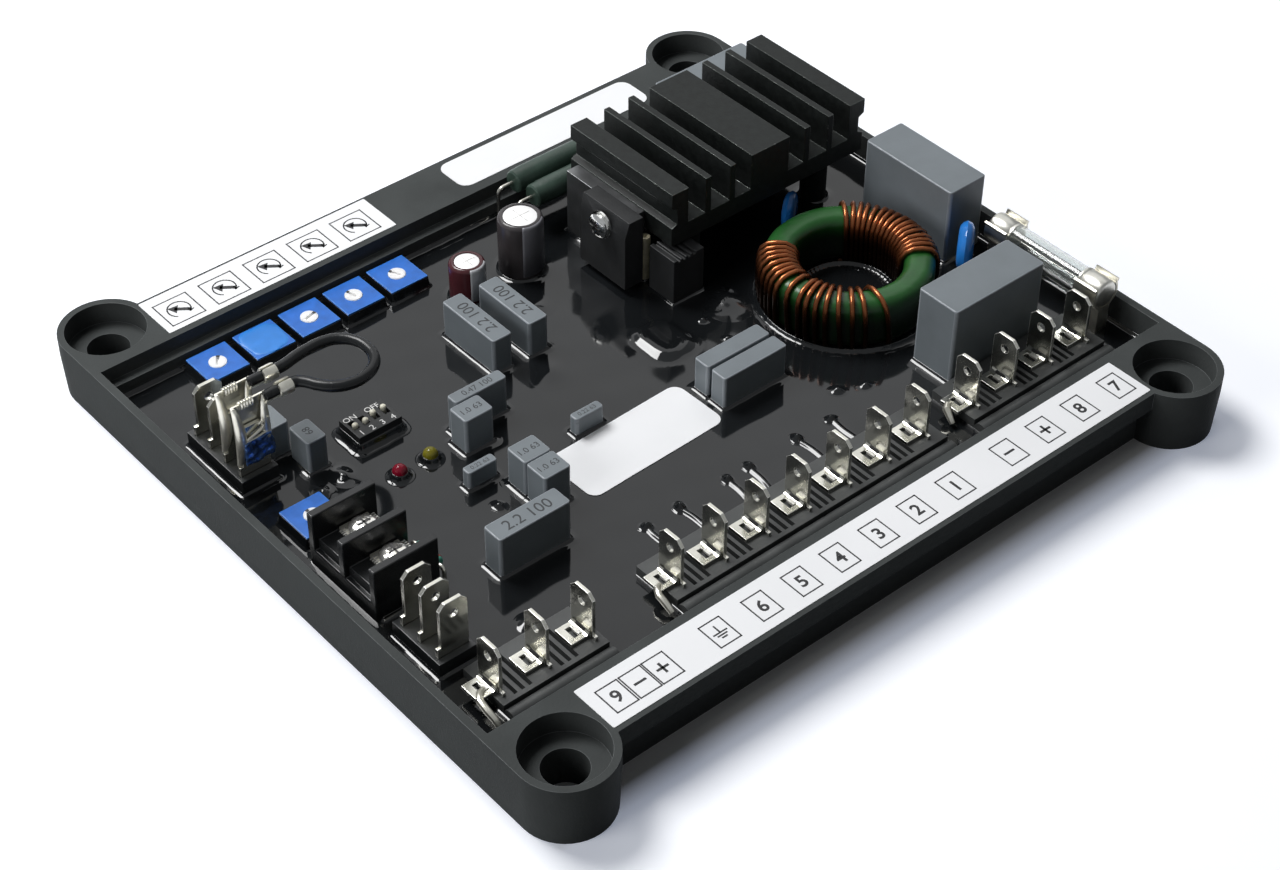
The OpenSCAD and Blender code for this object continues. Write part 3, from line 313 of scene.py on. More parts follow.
SADDLE = (
    (-75.0, 1.28, 200), (-73.6, 1.3, 205), (-71.9, 1.32, 200), (-71.6, 1.64, 26), (-71.2, 1.72, 16),
    (-69.0, 1.72, 16), (-68.6, 1.62, 22),
)


def skin(rings, closed=True, caps=True):
    """Points and faces of a surface laid over a row of rings, each with the same number of points."""
    count = len(rings[0])
    points = [p for ring in rings for p in ring]
    faces = []
    for i in range(len(rings) - 1):
        for j in range(count if closed else count - 1):
            k = (j + 1) % count
            faces.append((i * count + j, i * count + k, (i + 1) * count + k, (i + 1) * count + j))
    if caps:
        faces.append(tuple(reversed(range(count))))
        faces.append(tuple((len(rings) - 1) * count + j for j in range(count)))
    return points, faces


def joined(shapes):
    """Several shapes as the points and faces of one."""
    points = []
    faces = []
    for more_points, more_faces in shapes:
        first = len(points)
        points.extend(more_points)
        faces.extend(tuple(first + k for k in face) for face in more_faces)
    return points, faces


def add_piece(name, shape, material, body="regulator", sharp=35.0):
    """A smooth shaded piece from points in millimetres, which rides on a body."""
    mesh = bpy.data.meshes.new(name)
    mesh.from_pydata([(x * MM, y * MM, z * MM) for x, y, z in shape[0]], [], shape[1])
    turned = bmesh.new()
    turned.from_mesh(mesh)
    bmesh.ops.recalc_face_normals(turned, faces=turned.faces)
    turned.to_mesh(mesh)
    turned.free()
    mesh.polygons.foreach_set("use_smooth", [True] * len(mesh.polygons))
    mesh.set_sharp_from_angle(angle=math.radians(sharp))
    mesh.materials.append(material)
    obj = bpy.data.objects.new(name, mesh)
    scene.collection.objects.link(obj)
    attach(obj, body)
    return obj


def tube(route, radius, sides=12, caps=True):
    """A round rod along a route of points. The radius is one number, or one for each point."""
    route = [Vector(p) for p in route]
    radii = radius if hasattr(radius, "__len__") else [radius] * len(route)
    rings = []
    side = None
    for i, p in enumerate(route):
        ahead = (route[min(i + 1, len(route) - 1)] - route[max(i - 1, 0)]).normalized()
        if side is None:
            side = ahead.orthogonal().normalized()
        side = (side - ahead * side.dot(ahead)).normalized()
        other = ahead.cross(side)
        turn = [2 * math.pi * k / sides for k in range(sides)]
        rings.append([tuple(p + (side * math.cos(a) + other * math.sin(a)) * radii[i]) for a in turn])
    return skin(rings, caps=caps)


def strip_ring(path, thickness, third):
    """The closed outline of a thin strip bent along a path in the plane, at one level."""
    left = []
    right_side = []
    for i, (x, y) in enumerate(path):
        x0, y0 = path[max(i - 1, 0)]
        x1, y1 = path[min(i + 1, len(path) - 1)]
        length = math.hypot(x1 - x0, y1 - y0)
        nx = -(y1 - y0) / length * thickness / 2
        ny = (x1 - x0) / length * thickness / 2
        left.append(third(x + nx, y + ny))
        right_side.append(third(x - nx, y - ny))
    return left + right_side[::-1]


def receptacle_path(roll):
    """Section of the socket seen from above: one rolled edge, the flat back and the other rolled edge."""
    flat = RECEPTACLE_HALF_W - roll
    arc = []
    for t in range(250, -1, -25):
        a = math.radians(t)
        arc.append((-flat - roll * math.sin(a), RECEPTACLE_BACK - roll + roll * math.cos(a)))
    return arc + [(-x, y) for x, y in arc[::-1]]


def trough_ring(x, y, z, radius, wall, opening, points=14):
    """Section across a crimp: an open ring of strip round the wire, with its gap at the top."""
    outer = []
    inner = []
    for k in range(points):
        a = math.radians(90 + opening / 2 + k * (360 - opening) / (points - 1))
        outer.append((x, y + radius * math.cos(a), z + radius * math.sin(a)))
        inner.append((x, y + (radius - wall) * math.cos(a), z + (radius - wall) * math.sin(a)))
    return outer + inner[::-1]


def receptacle_shape(y):
    """One push-on receptacle with its socket, neck and two crimps."""
    socket_rings = []
    for z, roll in RECEPTACLE_LEVELS:
        path = receptacle_path(roll)
        socket_rings.append(strip_ring(path, STRIP_T, lambda px, py: (RECEPTACLE_X + px, y + py, z)))
    back = y + RECEPTACLE_BACK
    neck = []
    for z, x0, x1 in NECK_LEVELS:
        left = NECK_X[0] + x0
        right = NECK_X[1] + x1
        neck.append([
            (left, back - 0.2, z), (right, back - 0.2, z), (right, back + 0.2, z), (left, back + 0.2, z),
        ])
    crimp = []
    steps = SERRATIONS * 4
    for k in range(steps + 1):
        x = CRIMP_X[0] + (CRIMP_X[1] - CRIMP_X[0]) * k / steps
        swell = 0.13 * math.cos(2 * math.pi * k / 4)
        peak = CRIMP_Z[1] + swell
        w = CRIMP_Y + swell / 2
        crimp.append([
            (x, back - 0.2 - w, CRIMP_Z[0]), (x, back - 0.25 - w, peak - 0.5), (x, back - w, peak - 0.1),
            (x, back - 0.3, peak), (x, back + 0.2, peak - 0.1), (x, back + 0.2, CRIMP_Z[0]),
        ])
    saddle = [trough_ring(x, y, JUMPER_Z, radius, STRIP_T, opening) for x, radius, opening in SADDLE]
    return joined([skin(socket_rings), skin(neck), skin(crimp), skin(saddle)])


bright_tin = finish(
    "bright_tin", (0.80, 0.78, 0.69), 0.3, spread=0.12, patch=420.0, grain=500.0, depth=0.03, metallic=0.85,
)
sockets = add_piece("push_on_receptacles", joined([receptacle_shape(y) for y in RECEPTACLE_Y]), bright_tin)
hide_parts("receptacles")

bared_ends = []
for y in RECEPTACLE_Y:
    bared = [(x, y, JUMPER_Z) for x in (-74.9, -74.6, -73, -71, -68.4)]
    bared_ends.append(tube(bared, [0.7, 1.2, 1.2, 1.2, 1.2]))
wire_ends = add_piece("crimped_wire_ends", joined(bared_ends), jumper_pvc)

# Blue insert of the front receptacle
# A creased blue film lies in the socket against the tab, and a small sprung tongue stands over it.
INSERT_X = (-81.0, -74.6)
INSERT_Z = (13.6, 19.2)
INSERT_Y = 21.85
INSERT_T = 0.25

insert_rows = []
for i in range(15):
    u = i / 14
    row = []
    for j in range(15):
        v = j / 14
        crease = 0.16 * math.sin(11 * u + 5 * v) + 0.12 * math.sin(17 * v - 6 * u)
        crease += 0.07 * math.sin(31 * u + 23 * v)
        x = INSERT_X[0] + (INSERT_X[1] - INSERT_X[0]) * (u + 0.06 * math.sin(4 * v) * u)
        z = INSERT_Z[0] + (INSERT_Z[1] - INSERT_Z[0]) * (v + 0.05 * u)
        row.append((x, INSERT_Y - INSERT_T + crease, z))
    insert_rows.append(row)
blue_film = finish(
    "blue_film", (0.07, 0.15, 0.38), 0.16, spread=0.8, patch=620.0, grain=500.0, depth=0.25, metallic=0.5,
)
film = add_piece("blue_insert", skin(insert_rows, closed=False, caps=False), blue_film, sharp=60.0)
film_wall = film.modifiers.new("film_thickness", "SOLIDIFY")
film_wall.thickness = INSERT_T * MM
tongue = add_piece("receptacle_tongue", joined([
    tube([
        (-80.2, 21.75, 19.6), (-78.6, 21.6, 20.3), (-77.0, 21.5, 21.0), (-76.2, 21.5, 21.9),
        (-76.7, 21.5, 22.7), (-77.6, 21.5, 22.6),
    ], 0.3, 8),
    tube([
        (-80.6, 21.75, 19.3), (-78, 21.6, 19.5), (-75.2, 21.6, 19.9), (-74.9, 21.6, 21.5),
        (-75.1, 21.6, 23.2),
    ], 0.22, 8),
]), bright_tin)

# Tray
# One black glass-filled moulding holds everything: walls, two bolting ledges with an inner step, and four
# bosses with counterbored holes. Its edges are a little rounded and paler, partly worn and partly a painted
# highlight, and its faces are sparked.
TRAY_EDGE = 0.45
TRAY_BLACK = (0.058, 0.063, 0.063)
TRAY_WEAR_AND_HIGHLIGHT = (0.085, 0.092, 0.094)
WELD = 0.002


def rounded_copy(node, radius, material, steps=3, edge_material=None, body="regulator", angle=32.0):
    """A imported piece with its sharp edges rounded, in its own finish."""
    shape = bmesh.new()
    shape.from_mesh(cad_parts[node].data)
    bmesh.ops.remove_doubles(shape, verts=shape.verts, dist=WELD * MM)
    bmesh.ops.dissolve_limit(shape, angle_limit=math.radians(0.6), verts=shape.verts, edges=shape.edges)
    for face in shape.faces:
        face.material_index = 0
    least = math.radians(angle)
    sharp = [e for e in shape.edges if len(e.link_faces) == 2 and e.calc_face_angle() > least]
    bmesh.ops.bevel(
        shape, geom=sharp, offset=radius * MM, offset_type="OFFSET", segments=steps, profile=0.5,
        affect="EDGES", clamp_overlap=True, material=1 if edge_material else -1,
    )
    mesh = bpy.data.meshes.new(node + "_finished")
    shape.to_mesh(mesh)
    shape.free()
    for layer in [a.name for a in mesh.attributes if a.name == "custom_normal"]:
        mesh.attributes.remove(mesh.attributes[layer])
    mesh.polygons.foreach_set("use_smooth", [True] * len(mesh.polygons))
    mesh.set_sharp_from_angle(angle=math.radians(38))
    mesh.materials.append(material)
    if edge_material:
        mesh.materials.append(edge_material)
    obj = bpy.data.objects.new(node + "_finished", mesh)
    scene.collection.objects.link(obj)
    even_faces = obj.modifiers.new("even_faces", "WEIGHTED_NORMAL")
    even_faces.keep_sharp = True
    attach(obj, body)
    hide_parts(node)


tray_plastic = finish(
    "tray_plastic", TRAY_BLACK, 0.66, spread=0.18, patch=60.0, grain=1700.0, depth=0.06, sheen=0.06,
)
# The edges' finish: paler from wear, and partly a painted highlight.
tray_wear_and_highlight = finish(
    "tray_wear_and_highlight", TRAY_WEAR_AND_HIGHLIGHT, 0.45, spread=0.35, patch=300.0, grain=1700.0, depth=0.04, sheen=0.35,
)
rounded_copy("tray", TRAY_EDGE, tray_plastic, edge_material=tray_wear_and_highlight)

# Circuit board
# The laminate lies on the tray's pads under the resin, and only its underside could be seen with the tray cut
# open. Green solder mask covers it.
board_mask = finish("board_mask", (0.02, 0.14, 0.05), 0.35, patch=40.0, grain=800.0)
rounded_copy("circuit_board", 0.15, board_mask, steps=1)

# Labels
# Three white polyester films are stuck on the ledges. Thin black frames with plain marks name the
# terminals on the front one and the trimmers on the back one, and the third stays bare.
FILM_T = 0.12
INK_T = 0.02
LEDGE_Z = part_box("tray")[1].z / MM
FRONT_FILM = (-70.5, -76.9, 70.5, -65.7)
FRONT_CELLS = (
    (-65.3, "9"), (-59.9, "-"), (-54.6, "+"), (-40.9, "earth"), (-30.5, "6"), (-20.6, "5"), (-10.8, "4"),
    (-0.7, "3"), (9.5, "2"), (20.0, "1"), (35.0, "-"), (45.3, "+"), (55.4, "8"), (66.1, "7"),
)
FRONT_CELL_Y = -71.5
FRONT_CELL = (4.9, 6.3)
FIGURE_H = 2.9
SIGN_HALF = 1.1
EARTH_BARS = ((1.5, -0.1), (1.0, -0.75), (0.5, -1.4))
EARTH_TOP = 1.7
DIAL_FILM = (-70.7, 65.1, -12.8, 77.3)
DIAL_FIRST_X = -64.9
DIAL_PITCH = 11.25
DIAL_Y = 70.6
DIAL_CELL = (8.0, 8.0)
DIAL_R = 2.5
DIAL_FROM = -50
DIAL_TO = 230
BLANK_FILM = (6.5, 66.2, 61.0, 76.4)
FILM_CORNER = 0.3
BLANK_CORNER = 2.6
FRAME_LINE = 0.3
MARK_LINE = 0.55
EARTH_LINE = MARK_LINE / 1.6
ARROW_LINE = 1.0
PRINT_BOLD = 0.03
CAPITAL_SHARE = 0.7


def round_corners(x0, y0, x1, y1, corner, steps):
    """Places and outward directions along the four round corners of a box in plan."""
    places = []
    for cx, cy, start in (
        (x1 - corner, y1 - corner, 0), (x0 + corner, y1 - corner, 90),
        (x0 + corner, y0 + corner, 180), (x1 - corner, y0 + corner, 270),
    ):
        for k in range(steps + 1):
            a = math.radians(start + 90 * k / steps)
            places.append((cx + corner * math.cos(a), cy + corner * math.sin(a), math.cos(a), math.sin(a)))
    return places


def flat_slab(outline, z0, z1):
    """A flat piece between two levels, by its outline."""
    return skin([[(x, y, z) for x, y in outline] for z in (z0, z1)])


def label_film(box, corner):
    """A film with rounded corners on the ledge."""
    return flat_slab([(x, y) for x, y, _, _ in round_corners(*box, corner, 6)], LEDGE_Z, film_top)


def ink_line(points, width, z, closed=False):
    """A printed line through points on the film, as a thin flat slab for each stretch."""
    shapes = []
    ends = points + [points[0]] if closed else points
    for (x0, y0), (x1, y1) in zip(ends, ends[1:]):
        length = math.hypot(x1 - x0, y1 - y0)
        ux = (x1 - x0) / length
        uy = (y1 - y0) / length
        r = width / 2
        outline = [
            (x0 - ux * r + uy * r, y0 - uy * r - ux * r), (x1 + ux * r + uy * r, y1 + uy * r - ux * r),
            (x1 + ux * r - uy * r, y1 + uy * r + ux * r), (x0 - ux * r - uy * r, y0 - uy * r + ux * r),
        ]
        shapes.append(flat_slab(outline, z, z + INK_T))
    return shapes


def printed_word(word, x, y, z, height, turn=0.0, bold=0.0):
    """A plain printed figure or word, laid flat round its own middle."""
    text = bpy.data.curves.new("print", "FONT")
    text.body = word
    text.size = height * MM / CAPITAL_SHARE
    text.align_x = "CENTER"
    text.align_y = "CENTER"
    text.resolution_u = 3
    text.offset = height * bold * MM
    text.extrude = INK_T / 2 * MM
    carrier = bpy.data.objects.new("print", text)
    scene.collection.objects.link(carrier)
    bpy.context.view_layer.update()
    shape = carrier.to_mesh()
    middle_x = (min(v.co.x for v in shape.vertices) + max(v.co.x for v in shape.vertices)) / 2
    middle_y = (min(v.co.y for v in shape.vertices) + max(v.co.y for v in shape.vertices)) / 2
    c = math.cos(math.radians(turn))
    s = math.sin(math.radians(turn))
    points = []
    for v in shape.vertices:
        px = (v.co.x - middle_x) / MM
        py = (v.co.y - middle_y) / MM
        points.append((x + c * px - s * py, y + s * px + c * py, z + INK_T / 2 + v.co.z / MM))
    faces = [tuple(f.vertices) for f in shape.polygons]
    carrier.to_mesh_clear()
    bpy.data.objects.remove(carrier)
    bpy.data.curves.remove(text)
    return points, faces


def cell_frame(x, y, size, z):
    """The printed frame round one mark."""
    w = size[0] / 2
    h = size[1] / 2
    frame_corners = [(x - w, y - h), (x + w, y - h), (x + w, y + h), (x - w, y + h)]
    return ink_line(frame_corners, FRAME_LINE, z, closed=True)


film_white = finish("film_white", (0.83, 0.84, 0.86), 0.30, spread=0.02, patch=50.0, grain=500.0, depth=0.01)
print_black = finish("print_black", (0.012, 0.012, 0.014), 0.45, grain=3000.0, depth=0.005)
film_top = LEDGE_Z + FILM_T
add_piece("ledge_labels", joined([
    label_film(FRONT_FILM, FILM_CORNER), label_film(DIAL_FILM, FILM_CORNER),
    label_film(BLANK_FILM, BLANK_CORNER),
]), film_white)

marks = []
y = FRONT_CELL_Y
for x, mark in FRONT_CELLS:
    marks += cell_frame(x, y, FRONT_CELL, film_top)
    if mark == "earth":
        for reach, row in EARTH_BARS:
            marks += ink_line([(x - reach, y + row), (x + reach, y + row)], EARTH_LINE, film_top)
        marks += ink_line([(x, y + EARTH_BARS[0][1]), (x, y + EARTH_TOP)], EARTH_LINE, film_top)
    elif mark in "+-":
        marks += ink_line([(x - SIGN_HALF, y), (x + SIGN_HALF, y)], MARK_LINE, film_top)
        if mark == "+":
            marks += ink_line([(x, y - SIGN_HALF), (x, y + SIGN_HALF)], MARK_LINE, film_top)
    else:
        marks.append(printed_word(mark, x, y, film_top, FIGURE_H, bold=PRINT_BOLD))
for k in range(5):
    x = DIAL_FIRST_X + k * DIAL_PITCH
    y = DIAL_Y
    marks += cell_frame(x, y, DIAL_CELL, film_top)
    arc = []
    for t in range(DIAL_FROM, DIAL_TO + 1, 14):
        arc.append((x + DIAL_R * math.cos(math.radians(t)), y + DIAL_R * math.sin(math.radians(t))))
    end_x, end_y = arc[0]
    marks += ink_line(arc, FRAME_LINE, film_top)
    barb = [(end_x + 0.9, end_y + 0.3), (end_x, end_y), (end_x + 0.1, end_y + 0.9)]
    marks += ink_line(barb, FRAME_LINE, film_top)
    marks += ink_line([(x + 1.6, y - 1.2), (x - 0.4, y + 0.3)], ARROW_LINE, film_top)
    arrow_head = [(x - 2.0, y + 1.5), (x - 1.1, y - 0.9), (x + 0.5, y + 1.2)]
    marks.append(flat_slab(arrow_head, film_top, film_top + INK_T))
add_piece("label_print", joined(marks), print_black, sharp=20.0)

# Potting resin
# Black two-part resin, poured over the board and left to level itself. It sets glossy, with slow waves, and
# a lump stays where the nozzle was lifted off.
RESIN_GRID = 0.9
SKIRT_DROP = 3.3
SURFACE_DROP = 0.05
WAVE = 0.05
RIPPLE = 0.025
LUMP = (7.8, -0.5, 14.8, 9.0)
LUMP_RISE = 1.1
LUMP_CORNER = 2.5
LUMP_SPREAD = 1.5


def corners_of(node):
    """Lowest and highest corner, in millimetres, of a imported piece."""
    return [np.array(corner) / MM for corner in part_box(node)]


def foot_of(low, high):
    """Middle of the underside of a box."""
    return (low[0] + high[0]) / 2, (low[1] + high[1]) / 2, low[2]


def solids_of(node):
    """Lowest and highest corners, in millimetres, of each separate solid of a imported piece, from -X to +X."""
    shape = bmesh.new()
    shape.from_mesh(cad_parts[node].data)
    bmesh.ops.remove_doubles(shape, verts=shape.verts, dist=WELD * MM)
    waiting = set(shape.verts)
    boxes = []
    while waiting:
        start = waiting.pop()
        found = [start]
        queue = [start]
        while queue:
            v = queue.pop()
            for e in v.link_edges:
                w = e.other_vert(v)
                if w in waiting:
                    waiting.remove(w)
                    found.append(w)
                    queue.append(w)
        places = np.array([v.co for v in found]) / MM
        boxes.append((places.min(0), places.max(0)))
    shape.free()
    return sorted(boxes, key=lambda b: (round(b[0][0], 3), round(b[0][1], 3)))


def off_box(x, y, x0, y0, x1, y1, corner):
    """Distance of each point from a box in plan, and nothing inside it."""
    dx = np.maximum(np.maximum(x0 + corner - x, x - x1 + corner), 0)
    dy = np.maximum(np.maximum(y0 + corner - y, y - y1 + corner), 0)
    return np.maximum(np.hypot(dx, dy) - corner, 0)


resin_low, resin_high = corners_of("potting_resin")
RESIN_Z = resin_high[2]


def resin_level(x, y):
    """Height of the resin's top away from everything that stands in it."""
    wave = WAVE * np.sin(x / 5.1 + 1.3 * np.sin(y / 9.7)) * np.sin(y / 6.3 + 0.9 * np.sin(x / 12.1))
    ripple = RIPPLE * np.sin(x / 2.3 + y / 3.1) * np.sin(y / 2.9 - x / 4.7)
    lump = LUMP_RISE * np.exp(-(off_box(x, y, *LUMP, LUMP_CORNER) / LUMP_SPREAD) ** 2)
    return RESIN_Z - SURFACE_DROP + wave + ripple + lump


columns = int(round((resin_high[0] - resin_low[0]) / RESIN_GRID))
rows = int(round((resin_high[1] - resin_low[1]) / RESIN_GRID))
grid_x, grid_y = np.meshgrid(
    np.linspace(resin_low[0], resin_high[0], columns + 1), np.linspace(resin_low[1], resin_high[1], rows + 1),
)
surface_z = resin_level(grid_x, grid_y)
resin_points = [(x, y, z) for x, y, z in zip(grid_x.ravel(), grid_y.ravel(), surface_z.ravel())]
across = columns + 1
resin_faces = []
for j in range(rows):
    for i in range(columns):
        k = j * across + i
        resin_faces.append((k, k + 1, k + 1 + across, k + across))
rim = list(range(columns))
rim += [j * across + columns for j in range(rows)]
rim += [rows * across + i for i in range(columns, 0, -1)]
rim += [j * across for j in range(rows, 0, -1)]
first = len(resin_points)
resin_points += [(resin_points[k][0], resin_points[k][1], resin_low[2] + SKIRT_DROP) for k in rim]
for k in range(len(rim)):
    nxt = (k + 1) % len(rim)
    resin_faces.append((rim[nxt], rim[k], first + k, first + nxt))
resin_faces.append(tuple(first + k for k in reversed(range(len(rim)))))
resin_gloss = finish(
    "resin_gloss", (0.0075, 0.0085, 0.0095), 0.07, spread=0.3, patch=35.0, grain=420.0, depth=0.003, ior=1.52,
)
resin = add_piece("potting_resin_poured", (resin_points, resin_faces), resin_gloss, sharp=80.0)
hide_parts("potting_resin")

# Resin at the feet of the parts
# The resin wets what stands in it and climbs its sides in a smooth black ring. It covers the trimmers'
# sides nearly up to their tops, and stands in a round bead against the switch and the lamps.
FOOT_STEPS = (0.0, 0.15, 0.3, 0.5, 0.75, 1.0, 1.3, 1.7, 2.2, 2.9, 3.8)
FOOT_IN = 0.25
FOOT_SINK = 0.4
EDGE_SINK = 0.03
PLAIN_FEET = (
    ("sink_bracket", 0.5, 0.5), ("bridge_module", 0.4, 0.5), ("film_capacitors_back", 0.55, 0.5),
    ("film_capacitor_slim", 0.55, 0.5), ("film_capacitors_square", 0.6, 0.5),
    ("film_capacitors_thin", 0.6, 0.45), ("film_capacitor_front", 0.55, 0.5),
    ("film_capacitors_middle", 0.6, 0.5), ("film_capacitor_side", 0.7, 0.55),
    ("film_capacitor_large", 0.8, 0.6), ("film_capacitor_rear", 0.6, 0.5),
    ("film_capacitors_small", 0.5, 0.5), ("strip_left", 0.15, 0.35), ("strip_middle", 0.15, 0.35),
    ("strip_right", 0.15, 0.35), ("back_header", 0.45, 0.4), ("front_header", 0.45, 0.4),
)
ROUND_FEET = (
    ("sink_posts", 0.6, 0.6), ("spacer_post", 0.5, 0.5), ("can_capacitor_small", 0.6, 0.5),
    ("can_capacitor_large", 0.6, 0.55),
)
TRIMMER_REACH = 0.27
TRIMMER_BARE = 0.26
SWITCH_BEAD = (1.9, 0.55)
LAMP_BEAD = (1.35, 0.42)
BARRIER_FOOT = (0.9, 0.6)
BARRIER_SET_BACK = 1.2
WALL_FOOT = (0.8, 0.6)
CHOKE_FOOT = (0.8, 0.5)
CHOKE_BUMPS = 58
BUMP = 0.05


def thinning(share):
    """Height of a plain foot at a share of its reach."""
    return math.exp(-share)


def bead(share):
    """Height of a bead, which is round at its shoulder and hollow at its foot."""
    return 1 / (1 + share ** 2.6)


def climbing_resin(stations, climb, reach, profile=thinning, closed=True):
    """Resin that climbs a wall, from places along the wall's foot and the directions away from it."""
    sections = []
    for x, y, nx, ny in stations:
        uneven = 1 + 0.1 * math.sin(0.9 * x + 0.7 * y) * math.sin(0.8 * y - 0.5 * x)
        section = [(x - nx * FOOT_IN, y - ny * FOOT_IN, resin_level(x, y) + climb)]
        for step in FOOT_STEPS:
            away = reach * step * (uneven if step else 1)
            px = x + nx * away
            py = y + ny * away
            lift = climb * profile(step) if step < FOOT_STEPS[-1] else -EDGE_SINK
            section.append((px, py, resin_level(px, py) + lift))
        away = reach * FOOT_STEPS[-1] * uneven
        section.append((x + nx * away, y + ny * away, RESIN_Z - FOOT_SINK))
        section.append((x - nx * FOOT_IN, y - ny * FOOT_IN, RESIN_Z - FOOT_SINK))
        sections.append(section)
    if closed:
        sections.append(sections[0])
    return skin(sections, caps=not closed)


def box_stations(low, high, corner=0.25, pace=1.5):
    """Places and outward directions round a box in plan with small round corners."""
    turned = round_corners(low[0], low[1], high[0], high[1], corner, 5)
    stations = []
    for i, here in enumerate(turned):
        there = turned[(i + 1) % len(turned)]
        stations.append(here)
        length = math.hypot(there[0] - here[0], there[1] - here[1])
        count = int(length / pace)
        for k in range(1, count):
            share = k / count
            stations.append(tuple(a + (b - a) * share for a, b in zip(here, there)))
    return stations


def round_stations(x, y, r, count=48, way=1, wobble=0.0):
    """Places and directions round a circle, outward or with way=-1 inward."""
    stations = []
    for k in range(count):
        a = 2 * math.pi * k / count
        bumped = r + wobble * math.cos(CHOKE_BUMPS * a)
        out_x = math.cos(a)
        out_y = math.sin(a)
        stations.append((x + bumped * out_x, y + bumped * out_y, way * out_x, way * out_y))
    return stations


feet = []
for node, climb, reach in PLAIN_FEET:
    for low, high in solids_of(node):
        if low[2] < RESIN_Z < high[2]:
            feet.append(climbing_resin(box_stations(low, high), climb, reach))
for node, climb, reach in ROUND_FEET:
    for low, high in solids_of(node):
        r = (high[0] - low[0]) / 2
        feet.append(climbing_resin(round_stations(low[0] + r, low[1] + r, r), climb, reach))
for low, high in solids_of("trimmer_bodies"):
    bare = high[2] - RESIN_Z - TRIMMER_BARE
    feet.append(climbing_resin(box_stations(low, high), bare, TRIMMER_REACH, bead))
switch_low, switch_high = corners_of("switch_body")
feet.append(climbing_resin(box_stations(switch_low, switch_high, corner=0.5), *SWITCH_BEAD, bead))
for node in ("lamp_red", "lamp_green"):
    low, high = corners_of(node)
    r = (high[0] - low[0]) / 2
    feet.append(climbing_resin(round_stations(low[0] + r, low[1] + r, r), *LAMP_BEAD, bead))
barrier_low, barrier_high = corners_of("barrier_block")
barrier_side = barrier_low + (BARRIER_SET_BACK, 0, 0)
feet.append(climbing_resin(box_stations(barrier_side, barrier_high), *BARRIER_FOOT))
core_low, core_high = corners_of("choke_core")
CHOKE_X, CHOKE_Y, _ = foot_of(core_low, core_high)
CORE_R = (core_high[0] - core_low[0]) / 2
CORE_HOLE_R = 11.6
WINDING_GAP = 1.1
for r, way in ((CORE_R + WINDING_GAP, 1), (CORE_HOLE_R - WINDING_GAP, -1)):
    ring = round_stations(CHOKE_X, CHOKE_Y, r, 4 * CHOKE_BUMPS, way, BUMP)
    feet.append(climbing_resin(ring, *CHOKE_FOOT))
for x0, y0, x1, y1, nx, ny in (
    (resin_low[0], resin_low[1], resin_high[0], resin_low[1], 0, 1),
    (resin_low[0], resin_high[1], resin_high[0], resin_high[1], 0, -1),
    (resin_low[0], resin_low[1], resin_low[0], resin_high[1], 1, 0),
    (resin_high[0], resin_low[1], resin_high[0], resin_high[1], -1, 0),
):
    edge = [(x0 + (x1 - x0) * k / 80, y0 + (y1 - y0) * k / 80, nx, ny) for k in range(81)]
    feet.append(climbing_resin(edge, *WALL_FOOT, closed=False))
resin_feet = add_piece("resin_feet", joined(feet), resin_gloss, sharp=80.0)

# Film on the resin
# A blank white film lies on the resin between the small capacitors. It follows the waves of the surface,
# and its corners are round.
LAID_SIZE = (35.4, 14.9)
LAID_AT = (-13.6, -16.0)
LAID_TURN = math.radians(1.5)
LAID_CORNER = 2.4
LAID_LIFT = 0.04
LAID_ROUND = ((-1, 0), (-0.5, 0), (0, 0), (0.5, 0), (1, 0), (1, 1), (0.5, 1), (0, 1), (-0.5, 1), (-1, 1))

laid_rings = []
for k in range(37):
    along = LAID_SIZE[0] * (1 - math.cos(math.pi * k / 36)) / 2
    short = LAID_CORNER - min(LAID_CORNER, along, LAID_SIZE[0] - along)
    inset = LAID_CORNER - math.sqrt(max(0.0, LAID_CORNER ** 2 - short ** 2))
    u = along - LAID_SIZE[0] / 2
    half = LAID_SIZE[1] / 2 - inset
    ring = []
    for share, lift in LAID_ROUND:
        v = half * share
        x = LAID_AT[0] + u * math.cos(LAID_TURN) - v * math.sin(LAID_TURN)
        y = LAID_AT[1] + u * math.sin(LAID_TURN) + v * math.cos(LAID_TURN)
        ring.append((x, y, float(resin_level(x, y)) + LAID_LIFT + lift * FILM_T))
    laid_rings.append(ring)
add_piece("resting_film", skin(laid_rings), film_white)

# Drops and threads of resin
# The cut ends of the terminals' pins stand a little higher than the resin, which covers them in small
# domes. A low thread runs from each to its strip, and a few drops fell elsewhere as the nozzle was moved.
DROPS = (
    (20.7, -36.6, 1.3, 0.8), (11.3, -36.6, 1.5, 0.85), (-1.6, -36.6, 1.4, 0.8), (-7.4, -36.6, 1.3, 0.8),
    (-19.9, -36.6, 1.5, 0.85), (-28.4, -36.6, 1.3, 0.8), (22.0, 4.0, 0.7, 0.7), (22.0, -4.0, 0.6, 0.7),
    (-70.4, 11.8, 0.9, 1.4), (-64.6, 13.4, 0.8, 1.8), (-46.5, -13.5, 0.8, 0.9), (-13.0, 12.0, 0.4, 2.8),
    (30.5, 6.0, 1.2, 3.2), (-62.5, -42.0, 0.7, 1.4), (28.0, -31.0, 0.9, 1.0), (33.5, -33.5, 0.8, 0.9),
    (-3.5, 31.0, 0.6, 2.4), (63.0, -29.0, 0.6, 1.1), (-85.6, 21.0, 0.6, 1.1),
)
DROP_REACH = 2.3
THREADS = ((20.7, 20.5), (11.3, 11.6), (-1.6, -2.6), (-7.4, -8.0), (-19.9, -19.5), (-28.4, -28.8))
THREAD_Y = (-43.6, -36.6)
THREAD_RISE = 0.45
THREAD_HALF = 1.5

